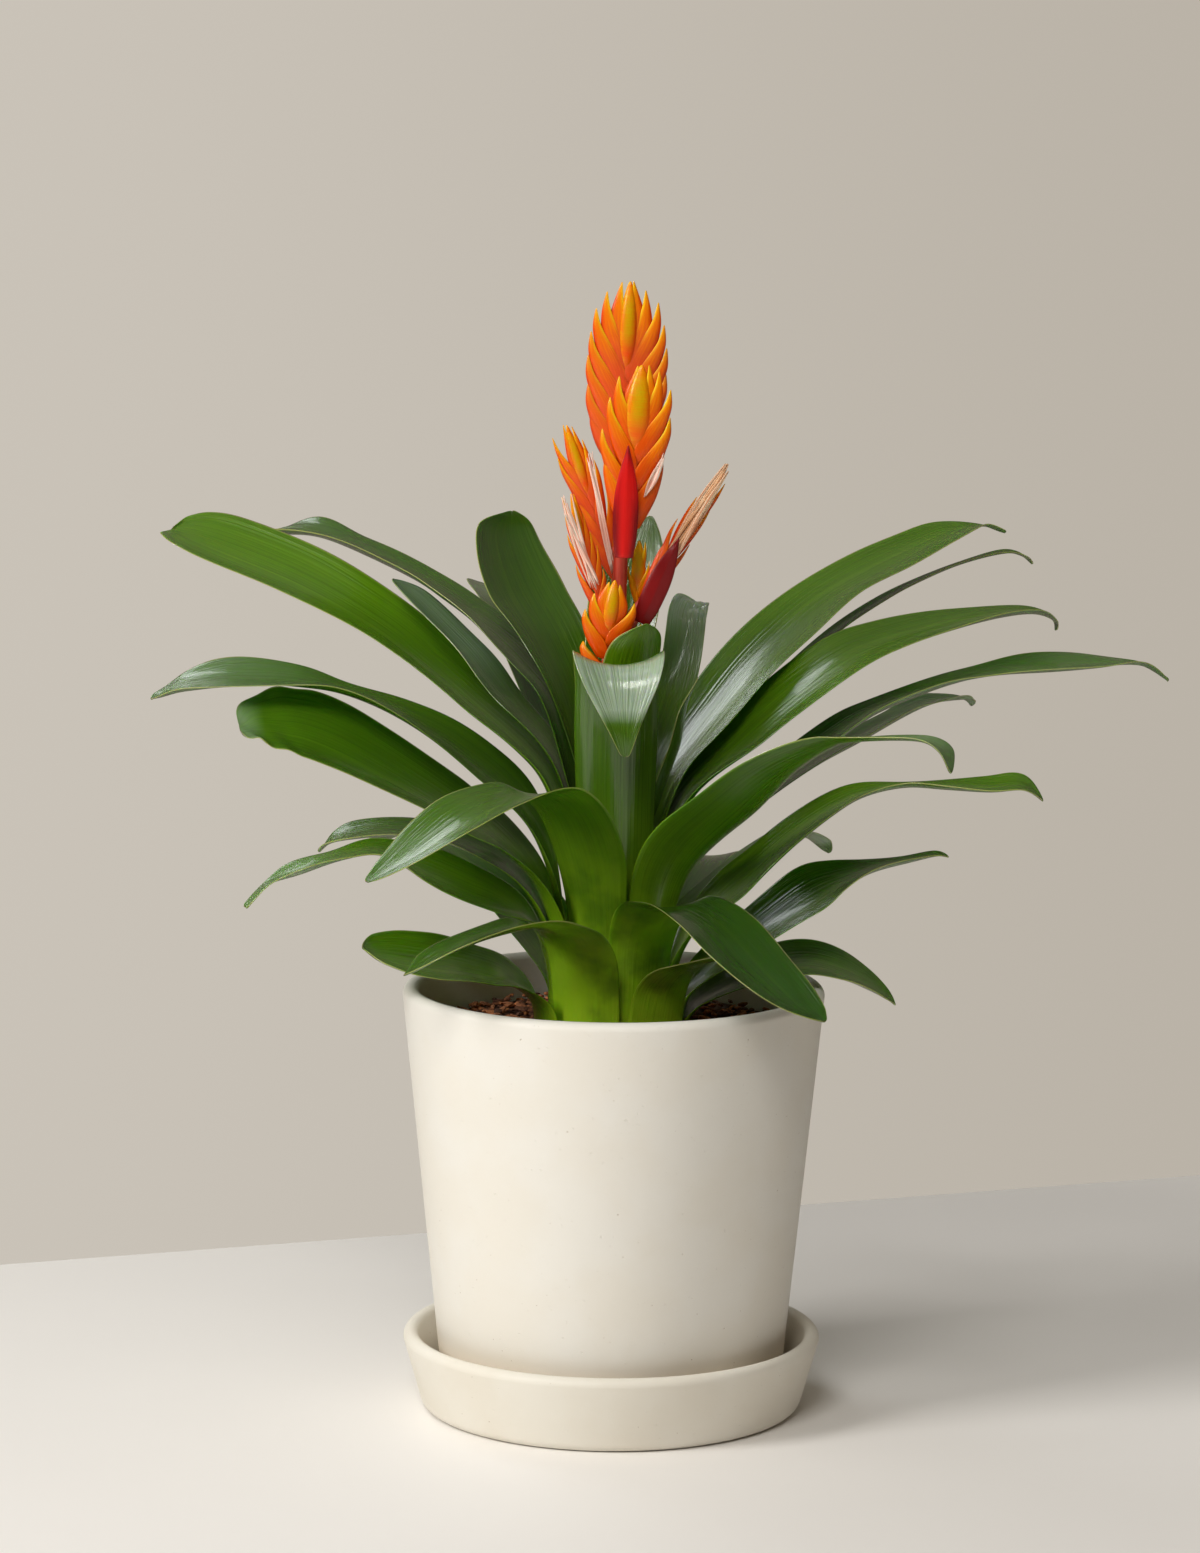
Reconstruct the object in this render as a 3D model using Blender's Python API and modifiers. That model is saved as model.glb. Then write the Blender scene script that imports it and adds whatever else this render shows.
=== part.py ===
"""Potted bromeliad: a strap-leaved rosette with a branched flower head, in a tapered
ceramic planter that stands in a shallow saucer.

Lengths in the tables are millimetres and are turned into metres when the meshes are made.
The origin is on the floor at the middle of the saucer's underside, +Z up, and the side
from which the plant is shown best faces -Y.
"""

import math

import bmesh
import bpy
from mathutils import Matrix, Vector

MM = 0.001
FIT_GAP = 0.3                 # clearance where two pieces touch

# Saucer
SAUCER_HEIGHT = 30.5
SAUCER_FOOT_RADIUS = 71.0
SAUCER_LIP_RADIUS = 81.5
SAUCER_WALL = 6.0
SAUCER_FLOOR = 8.0
SAUCER_INNER_RADIUS = 69.0    # of its floor
SAUCER_FOOT_ROUND = 5.0
SAUCER_CORNER_ROUND = 3.0

# Pot
POT_HEIGHT = 167.0            # rim above the floor the saucer stands on
POT_RIM_RADIUS = 82.0
POT_FOOT_RADIUS = 66.7
POT_WALL = 6.5
POT_BASE_THICKNESS = 8.0
POT_FOOT_ROUND = 4.0
POT_CORNER = 3.0
DRAIN_HOLE_RADIUS = 7.0
TURNED_STEPS = 48

# Soil
SOIL_TOP = 151.0
SOIL_BUMP = 1.2
SOIL_RINGS = 5
SOIL_SIDES = 36
SOIL_LEVEL_REACH = 72.0       # how far the rings of its uneven top reach inwards
SOIL_FOOT_CLEARANCE = 4.0
SOIL_RIM_CLEARANCE = 0.8

# Leaves
LEAF_THICKNESS = 0.7
LEAF_FOOT = SOIL_TOP + SOIL_BUMP + FIT_GAP
CELLS_ALONG = 12
CELLS_ACROSS = 4
WRAP_LIMIT = math.radians(56)
GUTTER = math.radians(24)     # how far each half of a free blade turns up

# Each leaf: azimuth at its foot and at its tip (degrees, 0 = +X, 90 = +Y), then stations
# from the rosette outwards: reach from the axis, height, width, roll about its own length.
LEAVES = {
    "leaf_front_inner": (292, 305, (
        (8.5, 0, 13, 0), (9, 218, 15, 0), (12, 265, 24, 0), (16, 288, 28, 0), (19, 303, 23, 0),
        (20, 310, 4, 0))),
    "leaf_back_tall": (96, 72, (
        (8.5, 0, 13, 0), (9.5, 228, 15, 0), (15, 265, 22, 0), (27, 297, 28, 0), (38, 325, 28, 0),
        (43, 346, 6, 0))),
    "leaf_back_right_fold": (58, 62, (
        (10.2, 0, 11, 0), (11, 218, 12, 0), (20, 246, 15, 6), (33, 262, 15, 12), (44, 277, 16, 20),
        (50, 289, 16, 26), (53.5, 299, 16, 28), (56, 306, 16, 28), (60, 310.5, 15.5, 20),
        (64, 311.5, 14, 12), (67, 310.5, 5, 8))),
    "leaf_back_left_tall": (136, 120, (
        (10.2, 0, 13, 0), (11, 228, 14, 0), (22, 271, 28, 0), (38, 298, 38, 0), (55, 315, 40, 0),
        (69, 329, 38, 5), (79, 339, 30, 10), (83, 345, 8, 10))),
    "leaf_right_small": (-18, 8, (
        (11.9, 0, 14, 0), (12.6, 218, 15, 0), (17.5, 241, 15, -5), (24, 261, 15, -10),
        (27, 276, 14, -10), (32, 287, 3, -10))),
    "leaf_left_high": (142, 142, (
        (11.9, 0, 20, 0), (12.3, 218, 21, 0), (20, 247, 30, 4), (29, 274, 36, 5), (40, 287, 38, 5),
        (58, 301, 38, 9), (78, 311, 38, 13), (99, 320, 37, 14), (139, 332, 34, 8),
        (166, 335, 30, -8), (181, 332, 4, 0))),
    "leaf_right_high": (46, 38, (
        (13.6, 0, 21, 0), (14.5, 208, 23, 0), (26, 241, 32, -8), (43, 259, 38, -8),
        (69, 282, 40, -5), (93, 298, 40, 0), (118, 312, 39, 0), (146, 322, 38, 3),
        (169, 330, 34, 0), (183, 335, 26, 0), (194, 336, 8, 0), (202, 333, 3, 0))),
    "leaf_left_pale": (158, 147, (
        (13.6, 0, 22, 0), (14.6, 208, 22, 0), (24, 251, 24, 5), (49, 279, 25, 1), (61, 292, 25, 0),
        (74, 302, 22, 0), (92, 314, 15, 0), (105, 319, 4, 0))),
    "leaf_right_main": (18, 24, (
        (15.3, 0, 25, 0), (17, 206, 28, 0), (29, 239, 38, 0), (52, 261, 43, 5), (69, 275, 44, 8),
        (95, 292, 43, 8), (115, 299, 40, 6), (139, 304, 36, 4), (162, 307, 30, 0),
        (179, 307, 22, 0), (190, 303, 9, 8), (193, 298, 3, 8))),
    "leaf_left_long": (158, 158, (
        (15.3, 0, 26, 0), (17, 203, 29, 0), (25, 239, 38, 0), (37, 258, 42, -3), (57, 275, 42, -5),
        (80, 292, 42, -6), (102, 306, 42, -10), (134, 321, 42, -18), (167, 332, 41, -20),
        (183, 336.5, 37, -14), (191.5, 337.5, 22, -8))),
    "leaf_front_upright": (270, 270, (
        (17, 0, 30, 0), (17.5, 203, 34, 0), (19, 243, 36, 0), (21, 266, 37, 0), (23, 285, 36, 0),
        (26.5, 294, 35, 0), (32, 295, 33, 0), (37, 290, 29, 0), (40, 280, 20, 0), (42, 271, 11, 0),
        (42, 262, 3, 0))),
    "leaf_right_thin": (42, 42, (
        (17, 0, 24, 0), (18, 196, 24, 0), (28, 229, 22, -5), (60, 260, 15, -10), (90, 281, 13, -12),
        (118, 297, 12, -14), (145, 308, 11, -14), (168, 315, 10, -12), (190, 320, 8, -8),
        (215, 323, 8, 0), (227, 321, 7, 8), (233, 317, 2, 8))),
    "leaf_front_left_arch": (248, 229, (
        (18.7, 0, 23, 0), (20, 178, 24, 0), (23, 201, 28, -4), (29, 219, 34, -6), (40, 237, 35, -5),
        (56, 249, 36, 0), (72, 252, 36, 3), (97, 249, 36, 0), (115, 241, 33, 3), (130, 231, 22, 8),
        (139, 224, 4, 8))),
    "leaf_right_long": (14, 14, (
        (18.7, 0, 27, 0), (18.9, 183, 27, 0), (26, 214, 27, 0), (46, 235, 29, 0), (73, 253, 35, 0),
        (93, 267, 35, 0), (107, 274, 32, -3), (131, 282, 28, -5), (150, 286, 26, 0),
        (172, 288, 27, 8), (195, 289, 24, 8), (214, 288, 10, 0), (226, 281, 3, 0))),
    "leaf_back_left_low": (118, 114, (
        (18.7, 0, 24, 0), (20, 178, 24, 0), (26, 218, 24, 0), (38, 246, 24, 0), (52, 265, 27, 6),
        (74, 288, 32, 10), (96, 304, 31, 12), (120, 311, 24, 8), (133, 311, 5, 5))),
    "leaf_back_mid": (95, 95, (
        (20.4, 0, 24, 0), (22, 173, 24, 0), (32, 203, 30, 0), (56, 235, 35, 0), (92, 259, 38, -4),
        (130, 269, 36, -4), (160, 264, 26, 0), (176, 254, 4, 0))),
    "leaf_right_behind": (34, 40, (
        (20.4, 0, 17, 0), (21.5, 188, 17, 0), (34, 215, 22, 0), (60, 233, 27, 0), (90, 246, 28, -5),
        (115, 254, 28, -10), (141, 263, 25, -12), (158, 267, 20, -5), (177, 267, 12, 4),
        (186, 265, 8, 4), (191, 262, 3, 0))),
    "leaf_left_flat": (183, 178, (
        (20.4, 0, 22, 0), (22, 193, 23, 0), (29, 222, 28, -10), (40, 242, 34, -18),
        (61, 261, 36, -14), (83, 274, 34, -6), (104, 282, 30, 0), (122, 286, 33, -8),
        (147, 287, 34, -10), (165, 284, 30, -10), (176, 279, 16, -6), (180, 277, 4, 0))),
    "leaf_right_front": (326, 330, (
        (20.4, 0, 28, 0), (21, 183, 28, 0), (25, 207, 35, -10), (35, 224, 41, -15),
        (50, 239, 42, -15), (67, 254, 40, -12), (81, 263, 34, -10), (94, 269, 26, -8),
        (103, 271, 18, -6), (122, 273, 15, -6), (135, 273, 16, -6), (142, 269, 15, -4),
        (144, 261, 4, 0))),
    "leaf_left_broad": (188, 188, (
        (22.1, 0, 32, 0), (24, 183, 34, 0), (31, 207, 37, -8), (44, 224, 42, -14),
        (57, 234, 43, -18), (70, 243, 44, -20), (92, 256, 44, -28), (109, 265, 44, -32),
        (123, 270, 43, -30), (137, 271.5, 39, -22), (145, 269, 24, -14))),
    "leaf_right_mid": (358, 356, (
        (22.1, 0, 25, 0), (24, 173, 25, 0), (33, 192, 30, 8), (46, 205, 37, 16), (57, 216, 38, 13),
        (69, 227, 37, 10), (84, 238, 34, 6), (96, 244, 27, 2), (112, 247, 17, -4),
        (127, 247, 23, 0), (144, 247, 27, 4), (157, 248, 22, 6), (165, 242, 4, 0))),
    "leaf_back_right_low": (54, 50, (
        (23.8, 0, 30, 0), (26, 169, 31, 0), (44, 186, 26, -15), (71, 200, 20, -20),
        (93, 209, 17, -15), (117, 213, 17, -5), (131, 209, 14, 0), (137, 203, 3, 0))),
    "leaf_left_under": (170, 169, (
        (23.8, 0, 27, 0), (24.4, 175, 28, 0), (28.5, 193, 32, 0), (37, 207, 32, -2),
        (50, 217, 32, -3), (65, 223, 31, -4), (85, 225, 31, -6), (104, 223, 30, -6),
        (113, 220, 20, -5), (118, 215, 4, 0))),
    "leaf_front_right_droop": (295, 308, (
        (25.5, 0, 26, 0), (25.5, 171, 26, 0), (28, 187, 30, 0), (37, 200, 35, 0), (48, 206, 37, 0),
        (63, 206, 39, -6), (79, 201, 39, -6), (94, 192, 38, -5), (109, 183, 33, -6),
        (119, 176, 22, -8), (126, 172, 4, -8))),
    "leaf_left_twist": (198, 198, (
        (25.5, 0, 29, 0), (26, 173, 29, 0), (34, 193, 33, -10), (48, 203, 36, -20),
        (65, 211, 36, -25), (78, 217, 32, -22), (95, 224, 24, -6), (112, 222, 20, 0),
        (128, 217, 22, 0), (140, 212, 9, 5), (147, 204, 3, 5))),
    "leaf_back_low": (74, 70, (
        (25.5, 0, 33, 0), (27, 164, 34, 0), (41, 177, 36, 0), (68, 193, 37, 5), (100, 203, 36, 5),
        (128, 199, 24, 0), (142, 190, 4, 0))),
    "leaf_right_low_long": (6, 6, (
        (27.2, 0, 29, 0), (30, 164, 30, 3), (45, 179, 34, 12), (66, 195, 38, 18), (78, 203, 38, 19),
        (88, 208, 34, 10), (100, 212, 26, 2), (115, 215, 19, -4), (126, 217, 11, -4),
        (131, 216, 3, 0))),
    "leaf_back_low_left": (125, 134, (
        (27.2, 0, 31, 0), (29, 164, 31, 0), (43, 178, 36, 0), (70, 197, 36, -5), (102, 211, 35, -5),
        (132, 211, 24, 0), (148, 202, 4, 0))),
    "leaf_front_left_low": (246, 226, (
        (28.9, 0, 29, 0), (30, 169, 30, 0), (35, 184, 34, -8), (45, 194, 34, -2), (57, 199, 31, 2),
        (68, 200, 29, 5), (87, 198, 28, 12), (102, 193, 23, 16), (113, 185, 4, 16))),
    "leaf_right_low": (4, 2, (
        (28.9, 0, 30, 0), (34, 160, 31, 4), (47, 168, 34, 8), (62, 174, 37, 12), (76, 176, 36, 12),
        (89, 173, 34, 12), (99, 168, 28, 10), (106, 163, 16, 6), (110, 159, 4, 0))),
    "leaf_left_low": (196, 196, (
        (30.6, 0, 34, 0), (33, 162, 36, -4), (42, 171, 38, -10), (52, 175, 40, -15),
        (63, 178, 41, -16), (75, 180, 41, -17), (86, 182, 38, -18), (95, 184, 28, -14),
        (100, 186, 10, -6))),
    "leaf_front_right_stub": (305, 317, (
        (30.6, 0, 27, 0), (31, 160, 27, 0), (34, 171, 27, 0), (44, 180, 26, 0), (57, 185, 15, 4),
        (65, 187, 3, 0))),
}

# Flower head: the stem's centreline (x, y, z) and the spikes on it.
STEM_RADIUS = 3.2
STEM_PATH = ((0, 0, LEAF_FOOT), (0, 0, 243), (-1, 0, 321), (0, 0.5, 345), (0, 3, 364))

# Each spike: foot and tip (x, y, z), number of bract pairs and half width of its fan.
SPIKE_DEPTH = 6.5
BRACT_DEPTH = 4.5
SPIKES = {
    "flower_spike_top": ((2, 9, 366), (4.5, 9, 440), 7, 15),
    "flower_spike_front": ((5, -9, 345), (9, -9, 409), 6, 14),
    "flower_spike_left": ((-4, 5, 328), (-21.5, 5, 385), 6, 7.5),
    "flower_spike_low_left": ((-8.5, -4, 314), (-20.5, -4, 358), 5, 6.5),
    "flower_spike_low_front": ((-5, -11, 291), (-0.5, -11, 327), 5, 11),
    "flower_spike_small": ((6.5, 7.6, 314), (9, 7.6, 341), 3, 4),
    "flower_spike_right": ((13, 1, 316), (39, 1, 366), 5, 5.5),
}

PRIMARY_BRACTS = {
    "bract_front_red": ((3, -16.5, 333), (4, -16.5, 378), 9.8),
    "bract_right_red": ((11, -6.5, 309), (25.5, -6.5, 342), 9.5),
}

CERAMIC = (0.80, 0.76, 0.66, 1.0)
GREEN = (0.07, 0.22, 0.03, 1.0)
ORANGE = (0.95, 0.24, 0.01, 1.0)
RED = (0.55, 0.01, 0.01, 1.0)
STEM_RED = (0.30, 0.02, 0.02, 1.0)
BARK = (0.05, 0.022, 0.012, 1.0)


def clear_scene():
    for item in list(bpy.data.objects):
        bpy.data.objects.remove(item, do_unlink=True)


def new_collection(name):
    collection = bpy.data.collections.new(name)
    bpy.context.scene.collection.children.link(collection)
    return collection


def new_material(name, colour, roughness):
    material = bpy.data.materials.new(name)
    material.use_nodes = True
    shader = material.node_tree.nodes["Principled BSDF"]
    shader.inputs["Base Color"].default_value = colour
    shader.inputs["Roughness"].default_value = roughness
    shader.inputs["Metallic"].default_value = 0.0
    return material


def add_mesh_object(collection, name, mesh_maker, material):
    mesh = bpy.data.meshes.new(name)
    mesh_maker.to_mesh(mesh)
    mesh_maker.free()
    mesh.shade_smooth()
    mesh.materials.append(material)
    item = bpy.data.objects.new(name, mesh)
    collection.objects.link(item)
    return item


def turned_piece(collection, name, profile, segments, material):
    """A closed turned solid from (radius, height) points running down its outer side."""
    outline = bmesh.new()
    points = [outline.verts.new((r * MM, 0.0, z * MM)) for r, z in profile]
    for first, second in zip(points, points[1:]):
        outline.edges.new((first, second))
    if profile[0][0] > 0:
        outline.edges.new((points[-1], points[0]))
    item = add_mesh_object(collection, name, outline, material)
    screw = item.modifiers.new("Turn", "SCREW")
    screw.axis = "Z"
    screw.steps = segments
    screw.render_steps = segments
    screw.use_merge_vertices = True
    screw.merge_threshold = 0.0001
    screw.use_smooth_shade = True
    return item


def rounded(center, radius, start, end, steps):
    """Points of an arc from start to end degrees, as (radius, height) pairs."""
    points = []
    for step in range(steps + 1):
        angle = math.radians(start + (end - start) * step / steps)
        points.append((center[0] + radius * math.cos(angle), center[1] + radius * math.sin(angle)))
    return points


def build_saucer(collection):
    lip = SAUCER_WALL / 2
    lip_center = (SAUCER_LIP_RADIUS - lip, SAUCER_HEIGHT - lip)
    foot_center = (SAUCER_FOOT_RADIUS - 1.0, SAUCER_FOOT_ROUND)
    corner = (SAUCER_INNER_RADIUS - SAUCER_CORNER_ROUND, SAUCER_FLOOR + SAUCER_CORNER_ROUND)
    profile = rounded(lip_center, lip, 90, -10, 4)
    profile += rounded(foot_center, SAUCER_FOOT_ROUND, -15, -90, 3)
    profile += [(0.0, 0.0), (0.0, SAUCER_FLOOR)]
    profile += rounded(corner, SAUCER_CORNER_ROUND, -90, -10, 2)
    profile += rounded(lip_center, lip, 170, 120, 2)
    return turned_piece(collection, "saucer", close_profile(profile), TURNED_STEPS,
                        new_material("saucer_ceramic", CERAMIC, 0.55))


def close_profile(profile):
    """Put the axis points first and last, so the turned solid closes on the axis."""
    on_axis = [index for index, point in enumerate(profile) if point[0] == 0.0]
    if not on_axis:
        return profile
    start = on_axis[-1]
    return profile[start:] + profile[:start]


def build_pot(collection):
    foot = SAUCER_FLOOR + FIT_GAP
    base_top = foot + POT_BASE_THICKNESS
    lip = POT_WALL / 2
    lip_center = (POT_RIM_RADIUS - lip, POT_HEIGHT - lip)
    inside_foot = pot_inner_radius(base_top)
    profile = rounded(lip_center, lip, 90, -6, 4)
    profile += rounded((POT_FOOT_RADIUS - POT_FOOT_ROUND, foot + POT_FOOT_ROUND), POT_FOOT_ROUND, -6, -90, 3)
    profile += [(DRAIN_HOLE_RADIUS, foot), (DRAIN_HOLE_RADIUS, base_top)]
    profile += [(inside_foot - POT_CORNER, base_top), (inside_foot, base_top + POT_CORNER)]
    profile += rounded(lip_center, lip, 174, 120, 2)
    return turned_piece(collection, "pot", profile, TURNED_STEPS, new_material("pot_ceramic", CERAMIC, 0.55))


def pot_inner_radius(height):
    foot = SAUCER_FLOOR + FIT_GAP
    slope = (POT_RIM_RADIUS - POT_FOOT_RADIUS) / (POT_HEIGHT - foot)
    return POT_FOOT_RADIUS - POT_WALL + slope * (height - foot)


def build_soil(collection):
    """Bark mix filling the pot from its base to just below the rim, with an uneven top."""
    foot = SAUCER_FLOOR + FIT_GAP + POT_BASE_THICKNESS + FIT_GAP
    soil = bmesh.new()
    bmesh.ops.create_cone(soil, cap_ends=True, segments=SOIL_SIDES,
                          radius1=pot_inner_radius(foot) - SOIL_FOOT_CLEARANCE,
                          radius2=pot_inner_radius(SOIL_TOP) - SOIL_RIM_CLEARANCE,
                          depth=SOIL_TOP - foot)
    top = max(soil.faces, key=lambda face: face.calc_center_median().z)
    for ring in range(1, SOIL_RINGS):
        bmesh.ops.inset_region(soil, faces=[top], thickness=SOIL_LEVEL_REACH / SOIL_RINGS)
    for vertex in soil.verts:
        if vertex.co.z > 0:
            reach = math.hypot(vertex.co.x, vertex.co.y)
            angle = math.atan2(vertex.co.y, vertex.co.x)
            outside = max(0.0, min(1.0, (reach - 30.0) / 10.0))
            vertex.co.z += SOIL_BUMP * outside * math.sin(5 * angle + 0.21 * reach) * math.cos(3 * angle)
        vertex.co.z += (SOIL_TOP + foot) / 2
        vertex.co *= MM
    bmesh.ops.triangulate(soil, faces=soil.faces[:])
    return add_mesh_object(collection, "soil", soil, new_material("bark_mix", BARK, 0.95))


def catmull_rom(points, position):
    """Smooth curve through tuples of numbers; position runs from 0 to len(points) - 1."""
    index = min(int(position), len(points) - 2)
    part = position - index
    before = points[max(index - 1, 0)]
    start = points[index]
    end = points[index + 1]
    after = points[min(index + 2, len(points) - 1)]
    value = []
    for a, b, c, d in zip(before, start, end, after):
        value.append(0.5 * (2 * b + (c - a) * part + (2 * a - 5 * b + 4 * c - d) * part ** 2
                            + (3 * b - a - 3 * c + d) * part ** 3))
    return value


def leaf_section(leaf, position):
    """Centre, direction across, direction of the upper face, half width and wrap angle."""
    foot_azimuth, tip_azimuth, stations = leaf
    grounded = [(reach, max(height, LEAF_FOOT), width, roll) for reach, height, width, roll in stations]
    reach, height, width, roll = catmull_rom(grounded, position)
    behind = catmull_rom(grounded, max(position - 0.05, 0))
    ahead = catmull_rom(grounded, min(position + 0.05, len(grounded) - 1))
    run = math.atan2(ahead[1] - behind[1], ahead[0] - behind[0])
    share = (position / (len(stations) - 1)) ** 2
    azimuth = math.radians(foot_azimuth + (tip_azimuth - foot_azimuth) * share)
    outward = Vector((math.cos(azimuth), math.sin(azimuth), 0))
    across = Vector((-math.sin(azimuth), math.cos(azimuth), 0))
    along = outward * math.cos(run) + Vector((0, 0, math.sin(run)))
    upper = along.cross(across)
    turn = Matrix.Rotation(math.radians(roll), 3, along)
    half = max(width, 1.6) / 2
    free = min(max((reach - 30) / 25, 0), 1)
    wrap = max(half / max(reach, 1), GUTTER * free)
    wrap = min(wrap, WRAP_LIMIT)
    upper = turn @ upper
    hollow = half / wrap * (1 - math.cos(wrap))
    center = outward * reach + Vector((0, 0, height)) - upper * hollow * free / 2
    return center, turn @ across, upper, half, wrap


def build_leaf(collection, name, leaf, material):
    blade = bmesh.new()
    bmesh.ops.create_grid(blade, x_segments=CELLS_ALONG, y_segments=CELLS_ACROSS, size=1.0)
    last = len(leaf[2]) - 1
    for vertex in blade.verts:
        position = (vertex.co.x + 1) / 2 * last
        center, across, upper, half, wrap = leaf_section(leaf, position)
        bend = half / wrap
        angle = vertex.co.y * wrap
        place = center + across * bend * math.sin(angle) + upper * bend * (1 - math.cos(angle))
        place.z = max(place.z, LEAF_FOOT)
        vertex.co = place * MM
    item = add_mesh_object(collection, name, blade, material)
    solidify = item.modifiers.new("Thickness", "SOLIDIFY")
    solidify.thickness = LEAF_THICKNESS * MM
    solidify.offset = 0.0
    return item


def build_stem(collection):
    curve = bpy.data.curves.new("flower_stem", "CURVE")
    curve.dimensions = "3D"
    curve.bevel_depth = STEM_RADIUS * MM
    curve.bevel_resolution = 2
    curve.use_fill_caps = True
    spline = curve.splines.new("POLY")
    steps = 12
    spline.points.add(steps)
    for index in range(steps + 1):
        x, y, z = catmull_rom(STEM_PATH, index / steps * (len(STEM_PATH) - 1))
        spline.points[index].co = (x * MM, y * MM, z * MM, 1.0)
        spline.points[index].radius = 1.0 - 0.35 * index / steps
    item = bpy.data.objects.new("flower_stem", curve)
    curve.materials.append(new_material("stem_red", STEM_RED, 0.5))
    collection.objects.link(item)
    return item


def spindle(length, width, depth, foot, direction, side):
    """A pointed bract: a six-sided spindle whose foot is at a place and that points along."""
    shape = bmesh.new()
    bmesh.ops.create_uvsphere(shape, u_segments=6, v_segments=4, radius=0.5)
    front = direction.cross(side)
    for vertex in shape.verts:
        local = vertex.co.copy()
        taper = 1.0 - 0.55 * max(local.z, 0) * 2
        vertex.co = (foot + direction * (local.z + 0.5) * length + side * local.x * width * taper
                     + front * local.y * depth * taper) * MM
    return shape


def build_spike(collection, helpers, name, spike, material):
    """A flat two-rowed fan of bracts whose tips lie on an oval, joined to one solid."""
    foot, tip, pairs, half_fan = spike
    foot = Vector(foot)
    tip = Vector(tip)
    length = (tip - foot).length
    rise = (tip - foot).normalized()
    side = rise.cross(Vector((0, -1, 0))).normalized()
    core = spindle(length, half_fan, SPIKE_DEPTH, foot, rise, side)
    item = add_mesh_object(collection, name, core, material)
    fan = bpy.data.collections.new(name + "_bracts")
    helpers.children.link(fan)
    for index in range(pairs):
        share = index / pairs
        for sign in (-1, 1):
            start = foot + rise * length * (0.04 + 0.55 * share)
            spread = half_fan * math.sqrt(1 - (0.95 * share) ** 2)
            end = foot + rise * length * (0.42 + 0.55 * share) + side * sign * spread
            direction = (end - start).normalized()
            bract = spindle((end - start).length, half_fan * 0.5, BRACT_DEPTH, start, direction, side)
            helper_name = "%s_bract_%d_%s" % (name, index, "left" if sign < 0 else "right")
            helper = add_mesh_object(fan, helper_name, bract, material)
            helper.hide_render = True
            helper.display_type = "WIRE"
    join = item.modifiers.new("Bracts", "BOOLEAN")
    join.operation = "UNION"
    join.operand_type = "COLLECTION"
    join.collection = fan
    return item


def build_primary_bract(collection, name, bract, material):
    foot, tip, width = bract
    foot = Vector(foot)
    tip = Vector(tip)
    rise = (tip - foot).normalized()
    side = rise.cross(Vector((0, -1, 0))).normalized()
    shape = spindle((tip - foot).length, width, 2.4, foot, rise, side)
    return add_mesh_object(collection, name, shape, material)


def main():
    clear_scene()
    plant = new_collection("potted_bromeliad")
    helpers = new_collection("helpers")
    build_saucer(plant)
    build_pot(plant)
    build_soil(plant)
    for number, (name, leaf) in enumerate(LEAVES.items()):
        build_leaf(plant, name, leaf, new_material("green_%02d" % number, GREEN, 0.35))
    build_stem(plant)
    for name, spike in SPIKES.items():
        build_spike(plant, helpers, name, spike, new_material(name + "_orange", ORANGE, 0.35))
    for name, bract in PRIMARY_BRACTS.items():
        build_primary_bract(plant, name, bract, new_material(name + "_red", RED, 0.35))


main()
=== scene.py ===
# %% [markdown]
# # A potted bromeliad
# This lesson dresses a measured model of a potted bromeliad: strap leaves in a rosette, a
# branched flower head of waxy bracts, bark mix, a cream ceramic pot and its saucer.
# The measured model is the frame. It could be rendered as it is, but its leaves are coarse and
# its flower spikes are plain spindles, so each piece is modelled again, finely, in its place.

# %% Load the measured model
import math
import random

import bmesh
import bpy
from mathutils import Matrix, Vector


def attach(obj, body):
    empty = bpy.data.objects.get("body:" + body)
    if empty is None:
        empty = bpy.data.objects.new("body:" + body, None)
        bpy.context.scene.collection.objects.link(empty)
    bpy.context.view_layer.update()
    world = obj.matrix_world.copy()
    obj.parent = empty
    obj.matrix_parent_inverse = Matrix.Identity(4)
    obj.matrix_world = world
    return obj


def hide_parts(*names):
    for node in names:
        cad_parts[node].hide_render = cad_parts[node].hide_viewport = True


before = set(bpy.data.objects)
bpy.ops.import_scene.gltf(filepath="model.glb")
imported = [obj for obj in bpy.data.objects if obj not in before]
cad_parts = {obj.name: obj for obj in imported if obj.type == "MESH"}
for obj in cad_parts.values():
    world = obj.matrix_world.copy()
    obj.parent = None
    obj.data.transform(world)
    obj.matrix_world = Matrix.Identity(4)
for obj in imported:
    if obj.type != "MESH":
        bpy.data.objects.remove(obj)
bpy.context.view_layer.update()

# %% [markdown]
# ## Working habits
# Lengths in the tables are millimetres and MM turns them into metres.
# Operators act on everything that is selected, so each piece starts from an empty selection.
# Each finished piece keeps its object at the origin, so its place is in its mesh; it is told which body it
# rides on and given its finish slot, and the measured node it stands for is hidden.

# %% Helpers for every piece
MM = 0.001


def select_nothing():
    if bpy.context.object and bpy.context.object.mode != "OBJECT":
        bpy.ops.object.mode_set(mode="OBJECT")
    bpy.ops.object.select_all(action="DESELECT")


def select_only(item):
    select_nothing()
    item.select_set(True)
    bpy.context.view_layer.objects.active = item


def hand_over(piece, name, node, material):
    piece.name = name
    piece.data.name = name
    piece.data.materials.clear()
    piece.data.materials.append(material)
    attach(piece, "root")
    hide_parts(node)
    print(name, "faces", len(piece.data.polygons))


def join_pieces(items):
    select_only(items[0])
    for item in items:
        item.select_set(True)
    bpy.ops.object.join()
    return bpy.context.object


# %% [markdown]
# ## Camera, floor and light
# A long lens from two metres keeps the pot's sides straight. The table is one pale plane, turned
# a little, whose far edge shows as a line behind the pot.
# The key light is a broad soft box on the left, with a second one in front. Two faint ones, over
# the plant and behind it, soften the shadows and edge the leaves. It could be a sky texture, but
# boxes give the soft streaks that waxy leaves show.

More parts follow.
